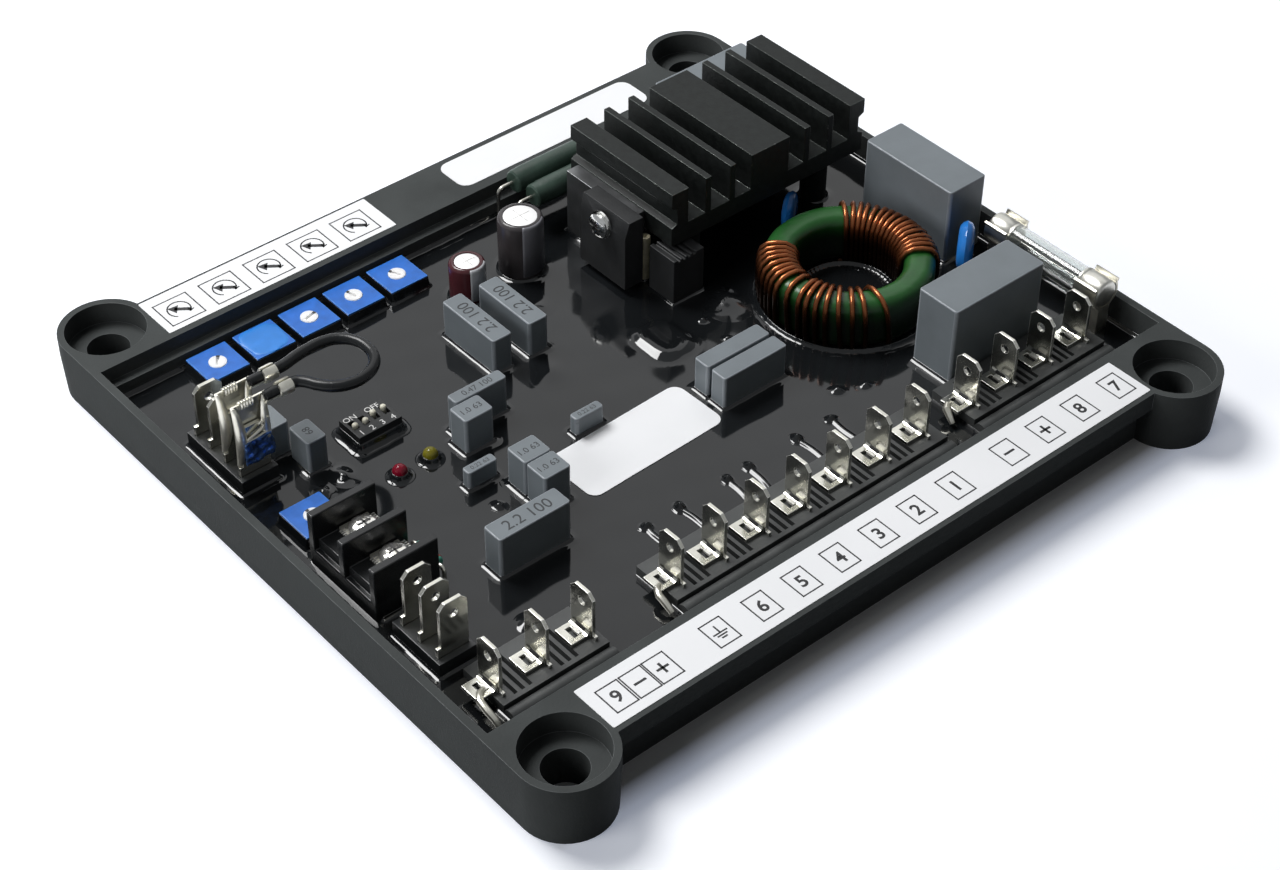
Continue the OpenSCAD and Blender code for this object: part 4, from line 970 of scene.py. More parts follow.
drops = []
for x, y, rise, r in DROPS:
    rings = []
    for k in range(12, -1, -1):
        share = DROP_REACH * k / 12
        away = r * share
        lift = rise * math.exp(-share ** 2 / 1.1) if k < 12 else -EDGE_SINK
        ring = []
        for n in range(28):
            a = 2 * math.pi * n / 28
            long_way = 1 + 0.12 * math.sin(2 * a + x)
            px = x + max(away, 0.01) * long_way * math.cos(a)
            py = y + max(away, 0.01) * long_way * math.sin(a)
            ring.append((px, py, resin_level(px, py) + lift))
        rings.append(ring)
    drops.append(skin(rings))
for x, end_x in THREADS:
    sections = []
    for k in range(15):
        share = k / 14
        y = THREAD_Y[1] + (THREAD_Y[0] - THREAD_Y[1]) * share
        middle = x + (end_x - x) * share + 0.15 * math.sin(5 * share + x)
        section = []
        for n in range(13):
            away = THREAD_HALF * (n - 6) / 6
            lift = THREAD_RISE * math.exp(-(away / 0.5) ** 2) if 0 < n < 12 else -EDGE_SINK
            section.append((middle + away, y, resin_level(middle + away, y) + lift))
        for way in (1, -1):
            section.append((middle + way * THREAD_HALF, y, RESIN_Z - FOOT_SINK))
        sections.append(section)
    drops.append(skin(sections))
resin_drops = add_piece("resin_drops", joined(drops), resin_gloss, sharp=80.0)

# Heat sink
# A length of black anodised aluminium extrusion with a wide pad, four thin fins and two grooved side bars.
# The saw and the dies leave bright nicks along its thin edges, where the black layer is rubbed through. The
# edges are lighter grey all along as well, a painted highlight.
SINK_EDGE = 0.16
SINK_BLACK = (0.012, 0.014, 0.0135)
SINK_WEAR_AND_HIGHLIGHT = ((0.6, (0.05, 0.055, 0.052, 1.0)), (0.8, (0.24, 0.25, 0.24, 1.0)))

sink_black = finish(
    "sink_black", SINK_BLACK, 0.5, spread=0.35, patch=700.0, grain=2200.0, depth=0.02, sheen=0.22,
)
# The edges' finish: bright nicks of wear over a painted highlight that runs along every edge.
sink_wear_and_highlight = finish(
    "sink_wear_and_highlight", (0.10, 0.105, 0.10), 0.34, spread=0.3, patch=900.0, grain=3000.0, metallic=0.9,
)
edge_tint = sink_wear_and_highlight.node_tree.nodes["tint"].color_ramp
for stop, (place, colour) in zip(edge_tint.elements, SINK_WEAR_AND_HIGHLIGHT):
    stop.position = place
    stop.color = colour
rounded_copy("heat_sink", SINK_EDGE, sink_black, steps=2, edge_material=sink_wear_and_highlight)
rounded_copy("sink_posts", 0.2, sink_black, steps=2)

# Cooling plate and transistor
# A milled aluminium plate carries the heat from the transistor to the heat sink. The transistor is a black
# epoxy block on three tinned legs, and one screw through both clamps it.
plate_metal = finish(
    "plate_metal", (0.20, 0.205, 0.21), 0.38, spread=0.15, patch=260.0, grain=1500.0, metallic=0.9,
)
epoxy_black = finish(
    "epoxy_black", (0.022, 0.023, 0.024), 0.42, spread=0.15, patch=200.0, depth=0.03, sheen=0.35,
)
leg_tin = finish("leg_tin", (0.66, 0.65, 0.62), 0.26, spread=0.2, patch=600.0, metallic=1.0)
rounded_copy("sink_bracket", 0.25, plate_metal, steps=2)
rounded_copy("power_transistor", 0.3, epoxy_black, steps=3)
rounded_copy("bridge_module", 0.22, epoxy_black, steps=2)

# Clamp screw
# A zinc plated cross-slot screw with a domed head on a spring washer and a plain washer, very bright where
# it catches the light.
CLAMP_HEAD = 2.75
CLAMP_PROUD = 2.2


def lathe(profile, place, axis, sides=32, start=0.0, sweep=360.0):
    """A turned shape or a part of a turn. The profile is pairs of height along the axis and radius."""
    axis = Vector(axis).normalized()
    side = axis.orthogonal().normalized()
    other = axis.cross(side)
    place = Vector(place)
    full = sweep >= 360.0
    count = sides if full else sides + 1
    rings = []
    for height, radius in profile:
        ring = []
        for k in range(count):
            a = math.radians(start + sweep * k / sides)
            out = side * math.cos(a) + other * math.sin(a)
            ring.append(tuple(place + axis * height + out * max(radius, 0.001)))
        rings.append(ring)
    return skin(rings, closed=full, caps=full)


def bar(place, size):
    """A plain bar by its middle and size."""
    x, y, z = place
    a, b, c = (s / 2 for s in size)
    return skin([[
        (x - a, y - b, z + k * c), (x + a, y - b, z + k * c),
        (x + a, y + b, z + k * c), (x - a, y + b, z + k * c),
    ] for k in (-1, 1)])


zinc = finish(
    "zinc", (0.86, 0.86, 0.84), 0.17, spread=0.12, patch=900.0, grain=1800.0, depth=0.012, metallic=1.0,
)
clamp_low, clamp_high = corners_of("clamp_screw")
clamp_y = (clamp_low[1] + clamp_high[1]) / 2
clamp_z = (clamp_low[2] + clamp_high[2]) / 2
seat_x = clamp_low[0] + CLAMP_PROUD
dome = [
    (0.0, 3.1), (0.45, 3.1), (0.5, 2.5), (0.9, 2.5), (0.95, CLAMP_HEAD), (1.35, CLAMP_HEAD), (1.75, 2.35),
    (2.05, 1.6), (2.18, 0.7), (CLAMP_PROUD, 0.0),
]
clamp = lathe(dome, (seat_x, clamp_y, clamp_z), (-1, 0, 0))
shank = lathe([(0.0, 1.28), (7.9, 1.28)], (seat_x, clamp_y, clamp_z), (1, 0, 0), 20)
clamp_head = add_piece("clamp_screw_turned", joined([clamp, shank]), zinc)
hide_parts("clamp_screw")
slot_shade = finish("slot_shade", (0.05, 0.05, 0.05), 0.5, metallic=0.6)
# The cross slot is two dark bars on the dome: painted shade for its recess.
slot_place = (seat_x - 2.05, clamp_y, clamp_z)
clamp_slot_shade = add_piece("clamp_screw_slot_shade", joined([
    bar(slot_place, (0.4, 3.2, 0.55)), bar(slot_place, (0.4, 0.55, 3.2)),
]), slot_shade)

# Spacer post
# A turned ceramic pillar with a dimpled top and a glazed surface. It stands in the resin beside the heat
# sink's left end.
cream = finish("cream_ceramic", (0.62, 0.57, 0.40), 0.30, spread=0.15, patch=500.0, grain=1200.0)
post_low, post_high = corners_of("spacer_post")
post_r = (post_high[0] - post_low[0]) / 2
post_h = post_high[2] - post_low[2]
post_foot = foot_of(post_low, post_high)
post_profile = [
    (0, post_r - 0.15), (0.2, post_r), (post_h - 0.3, post_r), (post_h - 0.08, post_r - 0.15),
    (post_h, post_r - 0.4), (post_h, 0.5), (post_h - 0.3, 0.3), (post_h - 0.35, 0.0),
]
post = add_piece("spacer_post_turned", lathe(post_profile, post_foot, (0, 0, 1), 24), cream)
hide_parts("spacer_post")

# Ring core
# A pressed iron powder ring with rounded edges under a thick green powder coat, which runs a little uneven.
# The coat and the copper of the windings are painted darker towards the foot: painted shade.
CORE_EDGE = 2.6
core_h = core_high[2] - core_low[2]
core_points = round_corners(CORE_HOLE_R, 0, CORE_R, core_h, CORE_EDGE, 6)
core_rings = []
for k in range(120):
    a = 2 * math.pi * k / 120
    uneven = 0.035 * math.sin(7 * a) + 0.03 * math.sin(17 * a + 1)
    core_rings.append([
        (CHOKE_X + (r + uneven) * math.cos(a), CHOKE_Y + (r + uneven) * math.sin(a), core_low[2] + z)
        for r, z, _, _ in core_points
    ])
core_rings.append(core_rings[0])
# Painted shade: the colour is this share of itself below the first height, and whole above the second.
FOOT_SHADE = 0.04
FOOT_FROM = 13.0
FOOT_TO = 24.0


def soak_foot(material):
    """Painted shade at the foot: the colour darkens below and is untouched above."""
    tree = material.node_tree
    place = add_node(tree, "TexCoord")
    height = add_node(tree, "SeparateXYZ")
    share = add_node(tree, "MapRange", {
        "From Min": FOOT_FROM * MM, "From Max": FOOT_TO * MM, "To Min": FOOT_SHADE,
    })
    share.interpolation_type = "SMOOTHSTEP"
    scaled = add_node(tree, "VectorMath", operation="SCALE")
    link(tree, place, "Object", height, "Vector")
    link(tree, height, "Z", share, "Value")
    link(tree, tree.nodes["tint"], "Color", scaled, 0)
    link(tree, share, "Result", scaled, "Scale")
    link(tree, scaled, 0, tree.nodes["Principled BSDF"], "Base Color")


core_green = finish(
    "core_green", (0.022, 0.155, 0.026), 0.34, spread=0.3, patch=160.0, grain=650.0, depth=0.06,
)
core = add_piece("choke_core_coated", skin(core_rings, caps=False), core_green)
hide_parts("choke_core")

# Windings
# Each is one length of enamelled copper wire, pulled tight round the ring by hand, turn against turn on the
# inside. The front one opens up over its last turns, and both ends go down through the resin to the board.
WIRE_R = 0.55
WIRE_OFF = 0.7
BACK_TURNS = (-40.0, ((16, 5.8),))
FRONT_TURNS = (128.0, ((8, 6.0), (1, 13.0), (4, 6.2), (1, 12.0), (2, 6.2), (1, 17.0)))
TURN_STEPS = 20


def turn_section(share, wobble):
    """Place of the wire round the core's section at a share of one turn, from under the core and inwards."""
    off = WIRE_OFF + wobble
    w = CORE_R - CORE_HOLE_R - 2 * CORE_EDGE
    h = core_h - 2 * CORE_EDGE
    r = CORE_EDGE + off
    quarter = math.pi * r / 2
    lengths = [h, quarter, w, quarter, h, quarter, w, quarter]
    left = (share % 1.0) * sum(lengths)
    inner = CORE_HOLE_R - off
    outer = CORE_R + off
    top = core_h + off
    stretches = (
        lambda d: (inner, CORE_EDGE + d),
        lambda d: (inner + r - r * math.cos(d / r), top - r + r * math.sin(d / r)),
        lambda d: (inner + r + d, top),
        lambda d: (outer - r + r * math.sin(d / r), top - r + r * math.cos(d / r)),
        lambda d: (outer, top - r - d),
        lambda d: (outer - r + r * math.cos(d / r), -off + r - r * math.sin(d / r)),
        lambda d: (outer - r - d, -off),
        lambda d: (inner + r - r * math.sin(d / r), -off + r - r * math.cos(d / r)),
    )
    for length, form in zip(lengths, stretches):
        if left <= length:
            return form(left)
        left -= length
    return stretches[0](0.0)


def winding_route(first_angle, runs, lean):
    """Centre line of a whole winding. Lean is how far the last turn falls behind its place, in degrees."""
    route = []
    angle = first_angle
    turn = 0
    total = sum(n for n, _ in runs)
    for count, pitch in runs:
        for _ in range(count):
            for k in range(TURN_STEPS):
                share = k / TURN_STEPS
                radius, height = turn_section(share, 0.05 * math.sin(2.1 * turn))
                extra = lean * max(0.0, turn + share - total + 2.0) / 2.0 * math.sin(math.pi * share)
                sway = 0.5 * math.sin(1.7 * turn) * math.sin(math.pi * share)
                a = math.radians(angle + pitch * share + extra + sway)
                x = CHOKE_X + radius * math.cos(a)
                y = CHOKE_Y + radius * math.sin(a)
                route.append((x, y, core_low[2] + height))
            angle += pitch
            turn += 1
    return route


copper = finish(
    "copper_wire", (0.50, 0.165, 0.062), 0.27, spread=0.25, patch=240.0, grain=900.0, depth=0.006,
    metallic=0.85,
)
# The core and the copper get painted shade towards their foot.
soak_foot(core_green)
soak_foot(copper)
for name, turns, lean in (("choke_winding_back", BACK_TURNS, 2.0), ("choke_winding_front", FRONT_TURNS, 5.0)):
    wire = tube(winding_route(*turns, lean), WIRE_R, 12)
    winding = add_piece(name + "_wound", wire, copper, sharp=70.0)
    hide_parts(name)

# Box capacitors
# Wound plastic film in moulded blue-grey cases, filled with resin from below. The cases have small round
# edges, a polished top where the value is printed and slightly sunk sides. The round edges are painted
# lighter, as a painted highlight.
CASE_EDGE = 0.38
case_grey = finish(
    "case_grey", (0.165, 0.188, 0.205), 0.40, spread=0.07, patch=140.0, grain=2400.0, depth=0.018, sheen=0.4,
)
# A lighter finish on the rounded edges: painted highlight.
case_edge_highlight = finish(
    "case_edge_highlight", (0.25, 0.275, 0.30), 0.30, spread=0.12, patch=300.0, grain=2400.0, depth=0.01,
)
for node in (
    "film_capacitors_back", "film_capacitor_slim", "film_capacitors_square", "film_capacitors_thin",
    "film_capacitor_front", "film_capacitors_middle", "film_capacitor_side", "film_capacitor_large",
    "film_capacitor_rear", "film_capacitors_small",
):
    rounded_copy(node, CASE_EDGE, case_grey, steps=3, edge_material=case_edge_highlight)

# Prints on the capacitor tops
# Many tops carry their value in plain figures, stamped with dark grey ink: the capacitance in microfarads,
# and the voltage.
PRINT_SHARE = 0.88
TOP_PRINTS = (
    ("film_capacitors_back", "2.2 100", 3.0, 90.0, 0), ("film_capacitors_back", "2.2 100", 3.0, 90.0, 1),
    ("film_capacitors_square", "1.0 63", 1.7, 0.0, 0), ("film_capacitors_square", "1.0 63", 1.7, 0.0, 1),
    ("film_capacitors_square", "1.0 63", 1.7, 0.0, 2), ("film_capacitor_slim", "0.47 100", 1.7, 0.0, 0),
    ("film_capacitor_front", "2.2 100", 3.0, 0.0, 0), ("film_capacitors_thin", "0.22 63", 1.2, 0.0, 0),
    ("film_capacitors_thin", "0.22 63", 1.2, 0.0, 1), ("film_capacitors_small", "68", 1.9, 90.0, 1),
)
print_grey = finish("print_grey", (0.022, 0.025, 0.028), 0.5, grain=3000.0, depth=0.004)
figures = []
for node, value, height, turn, index in TOP_PRINTS:
    low, high = solids_of(node)[index]
    x, y, _ = foot_of(low, high)
    figures.append(printed_word(value, x, y, high[2], PRINT_SHARE * height, turn))
add_piece("capacitor_print", joined(figures), print_grey, sharp=20.0)

# Can capacitors
# Drawn aluminium cans in shrunk plastic sleeves. The sleeve folds over the shoulder, a groove grips the
# rubber bung near the foot, a cross is pressed into the top, and a pale stripe marks the negative side.
VENT_ARM = 0.5
VENT_LINE = 0.12
STRIPE_TURN = 80.0
STRIPE_T = 0.03
bare_can = finish(
    "bare_can", (0.92, 0.92, 0.92), 0.42, spread=0.03, patch=800.0, grain=1200.0, metallic=0.25,
)
sleeve_maroon = finish(
    "sleeve_maroon", (0.060, 0.014, 0.018), 0.22, spread=0.15, patch=200.0, grain=700.0, depth=0.02,
)
sleeve_dark = finish(
    "sleeve_dark", (0.045, 0.040, 0.042), 0.24, spread=0.15, patch=200.0, grain=700.0, depth=0.02,
)
stripe_pale = finish("stripe_pale", (0.42, 0.43, 0.45), 0.3, spread=0.08, patch=200.0, grain=900.0)
stripe_grey = finish("stripe_grey", (0.17, 0.17, 0.19), 0.3, spread=0.08, patch=200.0, grain=900.0)
for node, sleeve, stripe, turn in (
    ("can_capacitor_small", sleeve_maroon, stripe_pale, -162.0),
    ("can_capacitor_large", sleeve_dark, stripe_grey, -168.0),
):
    low, high = corners_of(node)
    r = (high[0] - low[0]) / 2
    h = high[2] - low[2]
    place = foot_of(low, high)
    wall = [
        (0.0, r - 0.4), (0.25, r - 0.08), (1.6, r - 0.05), (2.1, r - 0.38), (2.6, r - 0.05), (3.2, r),
        (h - 0.9, r), (h - 0.45, r - 0.15), (h - 0.12, r - 0.5), (h, r - 0.9), (h - 0.04, r - 1.15),
        (h - 0.3, r - 1.25), (h - 0.7, r - 1.25),
    ]
    body = add_piece(node + "_sleeve", lathe(wall, place, (0, 0, 1), 48), sleeve)
    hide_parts(node)
    disc = [(h - 0.6, r - 1.27), (h - 0.22, r - 1.3), (h - 0.15, r - 1.5), (h - 0.12, 0.0)]
    add_piece(node + "_top", lathe(disc, place, (0, 0, 1), 48), bare_can)
    arm = 2 * r * VENT_ARM
    vent_place = (place[0], place[1], low[2] + h - 0.12)
    add_piece(node + "_vent", joined([
        bar(vent_place, (arm, VENT_LINE, 0.04)), bar(vent_place, (VENT_LINE, arm, 0.04)),
    ]), leg_tin)
    band = [(3.3, r + 0.03), (h - 0.9, r + 0.03), (h - 0.45, r - 0.12), (h - 0.1, r - 0.47)]
    strip = add_piece(node + "_stripe", lathe(band, place, (0, 0, 1), 12, turn, STRIPE_TURN), stripe)
    thick = strip.modifiers.new("sleeve_print", "SOLIDIFY")
    thick.thickness = STRIPE_T * MM

# Wirewound resistors
# Resistance wire on ceramic rods under dark green cement, with a pressed cap at each end. Their tinned leads
# bend down through the resin, and they lie half under the heat sink.
CEMENT_GREEN = (0.030, 0.052, 0.040)
LEAD_OUT = 4.0
LEAD_R = 0.45
LEAD_BEND = 1.5

cement = finish("green_cement", CEMENT_GREEN, 0.36, spread=0.25, patch=260.0, grain=1100.0, depth=0.05)
lead_tin = finish("lead_tin", (0.60, 0.58, 0.52), 0.25, spread=0.2, patch=500.0, metallic=1.0)
BOARD_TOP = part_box("circuit_board")[1].z / MM
rods = []
leads = []
for low, high in solids_of("wirewound_resistors"):
    y = (low[1] + high[1]) / 2
    r = (high[1] - low[1]) / 2
    z = high[2] - r
    x0 = low[0] + LEAD_OUT + LEAD_R
    x1 = high[0] - LEAD_OUT - LEAD_R
    rod_l = x1 - x0
    cap = [(0, 0.6), (0.15, r - 0.55), (0.5, r - 0.2), (1.2, r - 0.12), (2.2, r - 0.12), (2.6, r)]
    profile = cap + [(rod_l / 2, r)] + [(rod_l - along, radius) for along, radius in cap[::-1]]
    rods.append(lathe(profile, (x0, y, z), (1, 0, 0), 32))
    for end, way in ((x0, -1), (x1, 1)):
        bend = [(end - way * 0.3, y, z)]
        for k in range(9):
            a = math.radians(90 * k / 8)
            along = end + way * (LEAD_OUT - LEAD_BEND + LEAD_BEND * math.sin(a))
            bend.append((along, y, z - LEAD_BEND + LEAD_BEND * math.cos(a)))
        bend.append((end + way * LEAD_OUT, y, BOARD_TOP))
        leads.append(tube(bend, LEAD_R, 12))
resistors = add_piece("wirewound_bodies", joined(rods), cement)
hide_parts("wirewound_resistors")
resistor_leads = add_piece("wirewound_leads", joined(leads), lead_tin)

# Disc varistors
# Pressed zinc oxide discs dipped in glossy blue epoxy, which runs down both leads a little way. The large
# one stands by the fuse, and a smaller one under the heat sink's right end.
DISCS = (((73.5, -22.0), 40.0, 1.0), ((57.4, 15.4), 35.0, 0.8))
DISC_R = 5.5
DISC_T = 3.6
DISC_LEAD = 2.5
disc_blue = finish(
    "disc_blue", (0.018, 0.165, 0.52), 0.15, spread=0.12, patch=220.0, grain=260.0, depth=0.05,
)
discs = []
disc_leads = []


def mirrored(half, middle):
    """A symmetric profile, from the heights and radii of one half and the radius at its middle."""
    return [(-height, radius) for height, radius in half] + [(0, middle)] + half[::-1]


disc_boxes = sorted(solids_of("disc_varistors"), key=lambda b: -b[0][0])
for ((x, y), turn, share), (low, high) in zip(DISCS, disc_boxes):
    r = DISC_R * share
    t = DISC_T * share
    z = high[2] - r
    c = math.cos(math.radians(turn))
    s = math.sin(math.radians(turn))
    side = [(t / 2, 0.2), (t / 2 - 0.05, r * 0.55), (t / 2 - 0.22, r * 0.78), (t / 4, r * 0.93)]
    discs.append(lathe(mirrored(side, r), (x, y, z), (-s, c, 0), 40))
    for way in (-1, 1):
        px = x + way * c * DISC_LEAD
        py = y + way * s * DISC_LEAD
        run = [(px, py, z - r * 0.6), (px, py, z - r * 0.9), (px, py, z - r - 1.2), (px, py, z - r - 1.8)]
        discs.append(tube(run, [1.5 * share, 1.0 * share, 0.62, 0.5], 14))
        disc_leads.append(tube([(px, py, z - r - 1.0), (px, py, BOARD_TOP)], LEAD_R, 10))
varistors = add_piece("varistor_discs", joined(discs), disc_blue)
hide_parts("disc_varistors")
varistor_leads = add_piece("varistor_leads", joined(disc_leads), lead_tin)

# Axial resistor
# A carbon film resistor with a pale green coat, thicker over its end caps, and four painted bands. Its
# leads bend down into the resin.
AXIAL_HALF = 3.5
AXIAL_R = 1.4
BAND_HALF = 0.25
axial_low, axial_high = corners_of("axial_resistor")
AXIAL_X, AXIAL_Y, _ = foot_of(axial_low, axial_high)
AXIAL_Z = axial_high[2] - AXIAL_R
axial_place = (AXIAL_X, AXIAL_Y, AXIAL_Z)
coat_green = finish("coat_green", (0.07, 0.33, 0.25), 0.3, spread=0.08, patch=300.0, grain=800.0)
band_red = finish("band_red", (0.35, 0.03, 0.02), 0.35)
band_gold = finish("band_gold", (0.42, 0.28, 0.08), 0.3, metallic=0.6)
coat_half = [(AXIAL_HALF, 0.5), (3.35, 1.0), (3.0, 1.32), (2.4, AXIAL_R), (1.9, 1.3), (1.4, 1.15)]
coat = add_piece("axial_body", lathe(mirrored(coat_half, 1.12), axial_place, (0, 1, 0), 28), coat_green)
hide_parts("axial_resistor")
for name, places, paint in (
    ("axial_red_bands", (-2.4, -1.0, 0.0), band_red), ("axial_gold_band", (2.4,), band_gold),
):
    bands = []
    for p in places:
        edge, face = (1.16, 1.18) if abs(p) < 2 else (1.41, 1.43)
        band = [(p - BAND_HALF, edge), (p - 0.24, face), (p + 0.24, face), (p + BAND_HALF, edge)]
        bands.append(lathe(band, axial_place, (0, 1, 0), 28))
    add_piece(name, joined(bands), paint)
axial_leads = []
for way in (-1, 1):
    end = AXIAL_Y + way * AXIAL_HALF
    tip = axial_high[1] - LEAD_R if way > 0 else axial_low[1] + LEAD_R
    bend = [(AXIAL_X, end - way * 0.4, AXIAL_Z)]
    for k in range(7):
        a = math.radians(15 * k)
        bend.append((AXIAL_X, tip - way * (1 - math.sin(a)), AXIAL_Z - 1 + math.cos(a)))
    bend.append((AXIAL_X, tip, BOARD_TOP))
    axial_leads.append(tube(bend, LEAD_R, 10))
axial_wires = add_piece("axial_leads", joined(axial_leads), lead_tin)

# Fuse
# A glass tube with a melting wire inside and a plated brass cap pressed on each end. It snaps into two
# spring clips of folded tin plate, which stand on the board.
FUSE_WALL = 0.55
MELT_R = 0.11
fuse_low, fuse_high = corners_of("fuse_tube")
FUSE_X = (fuse_low[0] + fuse_high[0]) / 2
FUSE_Z = (fuse_low[2] + fuse_high[2]) / 2
FUSE_R = (fuse_high[0] - fuse_low[0]) / 2
FUSE_BORE = FUSE_R - FUSE_WALL
caps = solids_of("fuse_caps")
ends = (min(c[0][1] for c in caps), max(c[1][1] for c in caps))
fuse_glass = bpy.data.materials.new("fuse_glass")
fuse_glass.use_nodes = True
glass_tree = fuse_glass.node_tree
glass_shader = set_inputs(glass_tree.nodes["Principled BSDF"], {
    "Base Color": (0.80, 0.83, 0.82, 1.0), "Transmission Weight": 1.0, "IOR": 1.47,
})
glass_place = add_node(glass_tree, "TexCoord")
glass_smudge = add_node(glass_tree, "TexNoise", {"Scale": 90.0})
glass_range = add_node(glass_tree, "MapRange", {"To Min": 0.05, "To Max": 0.09})
link(glass_tree, glass_place, "Object", glass_smudge, "Vector")
link(glass_tree, glass_smudge, "Fac", glass_range, "Value")
link(glass_tree, glass_range, "Result", glass_shader, "Roughness")
glass_l = fuse_high[1] - fuse_low[1]
glass_profile = [
    (0, FUSE_BORE), (0, FUSE_R), (glass_l, FUSE_R), (glass_l, FUSE_BORE), (glass_l - 0.1, FUSE_BORE),
    (0.1, FUSE_BORE), (0, FUSE_BORE),
]
glass_rings = []
for along, r in glass_profile:
    ring = []
    for k in range(40):
        a = 2 * math.pi * k / 40
        ring.append((FUSE_X + r * math.cos(a), fuse_low[1] + along, FUSE_Z + r * math.sin(a)))
    glass_rings.append(ring)
glass = add_piece("fuse_glass_tube", skin(glass_rings, caps=False), fuse_glass)
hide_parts("fuse_tube")
melt_route = []
for k in range(25):
    sag = 0.5 * math.sin(math.pi * k / 24)
    melt_route.append((FUSE_X + 0.06 * math.sin(0.9 * k), fuse_low[1] + glass_l * k / 24, FUSE_Z - sag))
add_piece("fuse_wire", tube(melt_route, MELT_R, 8), leg_tin)
cap_plate = finish("cap_plate", (0.62, 0.61, 0.56), 0.3, spread=0.12, patch=500.0, depth=0.01, metallic=1.0)
cap_shapes = []
for low, high in caps:
    r = (high[0] - low[0]) / 2
    n = high[1] - low[1]
    outwards = -1 if high[1] < (ends[0] + ends[1]) / 2 else 1
    base = high[1] if outwards < 0 else low[1]
    cap_profile = [
        (0, r - 0.1), (0.12, r), (0.7, r), (0.85, r - 0.1), (1.0, r), (n - 0.6, r), (n - 0.3, r - 0.12),
        (n - 0.1, r - 0.4), (n - 0.03, r - 0.9), (n, 0.8), (n, 0),
    ]
    cap_shapes.append(lathe(cap_profile, (FUSE_X, base, FUSE_Z), (0, outwards, 0), 40))
fuse_ends = add_piece("fuse_end_caps", joined(cap_shapes), cap_plate)
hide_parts("fuse_caps")
clip_tin = finish(
    "clip_tin", (0.60, 0.58, 0.51), 0.38, spread=0.12, patch=420.0, grain=240.0, depth=0.02, metallic=1.0,
)
rounded_copy("fuse_clips", 0.1, clip_tin, steps=2)

# Terminal strips
# Moulded black nylon combs that hold the front tabs. Grooves across the top lengthen the path between
# neighbours, and a rounded lip runs along the front.
nylon = finish(
    "nylon", (0.022, 0.024, 0.026), 0.36, spread=0.15, patch=180.0, grain=1300.0, depth=0.03,
)
# The combs take a paler copy of the black nylon: painted sheen on their tops.
comb_nylon_sheen = finish(
    "comb_nylon_sheen", (0.052, 0.055, 0.055), 0.42, spread=0.15, patch=180.0, grain=1300.0, depth=0.03,
)
for node in ("strip_left", "strip_middle", "strip_right"):
    rounded_copy(node, 0.14, comb_nylon_sheen, steps=2)

# Tabs
# Flat push-on tabs, stamped from tin plated brass. Each front one stands on its folded foot, with a
# locating hole near the tip and chamfered corners. Their rounded edges are paler: a painted highlight.
tab_tin = finish(
    "tab_tin", (0.70, 0.69, 0.62), 0.2, spread=0.12, patch=330.0, grain=130.0, depth=0.025, metallic=1.0,
)
# The paler finish of the rounded edges: painted highlight.
tab_edge_highlight = finish(
    "tab_edge_highlight", (0.86, 0.85, 0.80), 0.27, spread=0.08, patch=500.0, depth=0.006, metallic=0.7,
)
for node in ("tabs_left", "tabs_middle", "tabs_right", "back_header_tabs", "front_header_tabs"):
    rounded_copy(node, 0.13, tab_tin, steps=3, edge_material=tab_edge_highlight)

# Bends of the tabs, with painted windows and glints
# Every front tab is one strip that turns from its foot into the blade in a small bend. A dark oval, half
# sunk in the bend, is painted shade for a window, and a pale block of tin by it is a painted highlight for
# the glint in the window. Three spare feet bend down into the resin.
TAB_Y = -51.3
TAB_T = 0.8
FOOT_HALF = 2.5
BEND_R = 1.1
BEND_STEPS = 8
WINDOW = (1.35, 0.62)
GLINT_BLOCK = (1.0, 1.9, 0.5)
SLANT = math.sqrt(0.5)
FRONT_TABS = [b for n in ("tabs_left", "tabs_middle", "tabs_right") for b in solids_of(n)]
foot_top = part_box("strip_middle")[1].z / MM + TAB_T
bends = []
oval_shades = []
window_glints = []
for low, high in FRONT_TABS:
    face_x = high[0] - TAB_T
    middle = (face_x - BEND_R, foot_top + BEND_R)
    section = [(face_x + 0.1, foot_top - 0.1), (middle[0], foot_top - 0.1)]
    for k in range(BEND_STEPS + 1):
        a = math.radians(-90 + 90 * k / BEND_STEPS)
        section.append((middle[0] + BEND_R * math.cos(a), middle[1] + BEND_R * math.sin(a)))
    section.append((face_x + 0.1, middle[1]))
    bends.append(skin([[(x, TAB_Y + s * FOOT_HALF, z) for x, z in section] for s in (-1, 1)]))
    on_bend = (middle[0] + BEND_R * SLANT, middle[1] - BEND_R * SLANT)
    # Painted shade: a dark oval half sunk in the bend, where the window is.
    oval = []
    for lift in (0.06, -0.3):
        ring = []
        for k in range(24):
            a = 2 * math.pi * k / 24
            up = WINDOW[1] * math.sin(a) * SLANT
            x = on_bend[0] + up - lift * SLANT
            ring.append((x, TAB_Y + WINDOW[0] * math.cos(a), on_bend[1] + up + lift * SLANT))
        oval.append(ring)
    oval_shades.append(skin(oval))
    # Painted highlight: a pale tin block by the bend, for the glint in the window.
    window_glints.append(bar((face_x - 1.35, TAB_Y - 0.3, foot_top), GLINT_BLOCK))
tab_bends = add_piece("tab_bends", joined(bends), tab_tin)
window_shade = finish("window_shade", (0.03, 0.03, 0.03), 0.4, metallic=0.3)
tab_window_shades = add_piece("tab_window_shades", joined(oval_shades), window_shade)
glint_tin = finish("glint_tin", (0.90, 0.89, 0.85), 0.3, spread=0.05, patch=700.0, depth=0.01, metallic=0.5)
tab_window_glints = add_piece("tab_window_glints", joined(window_glints), glint_tin)
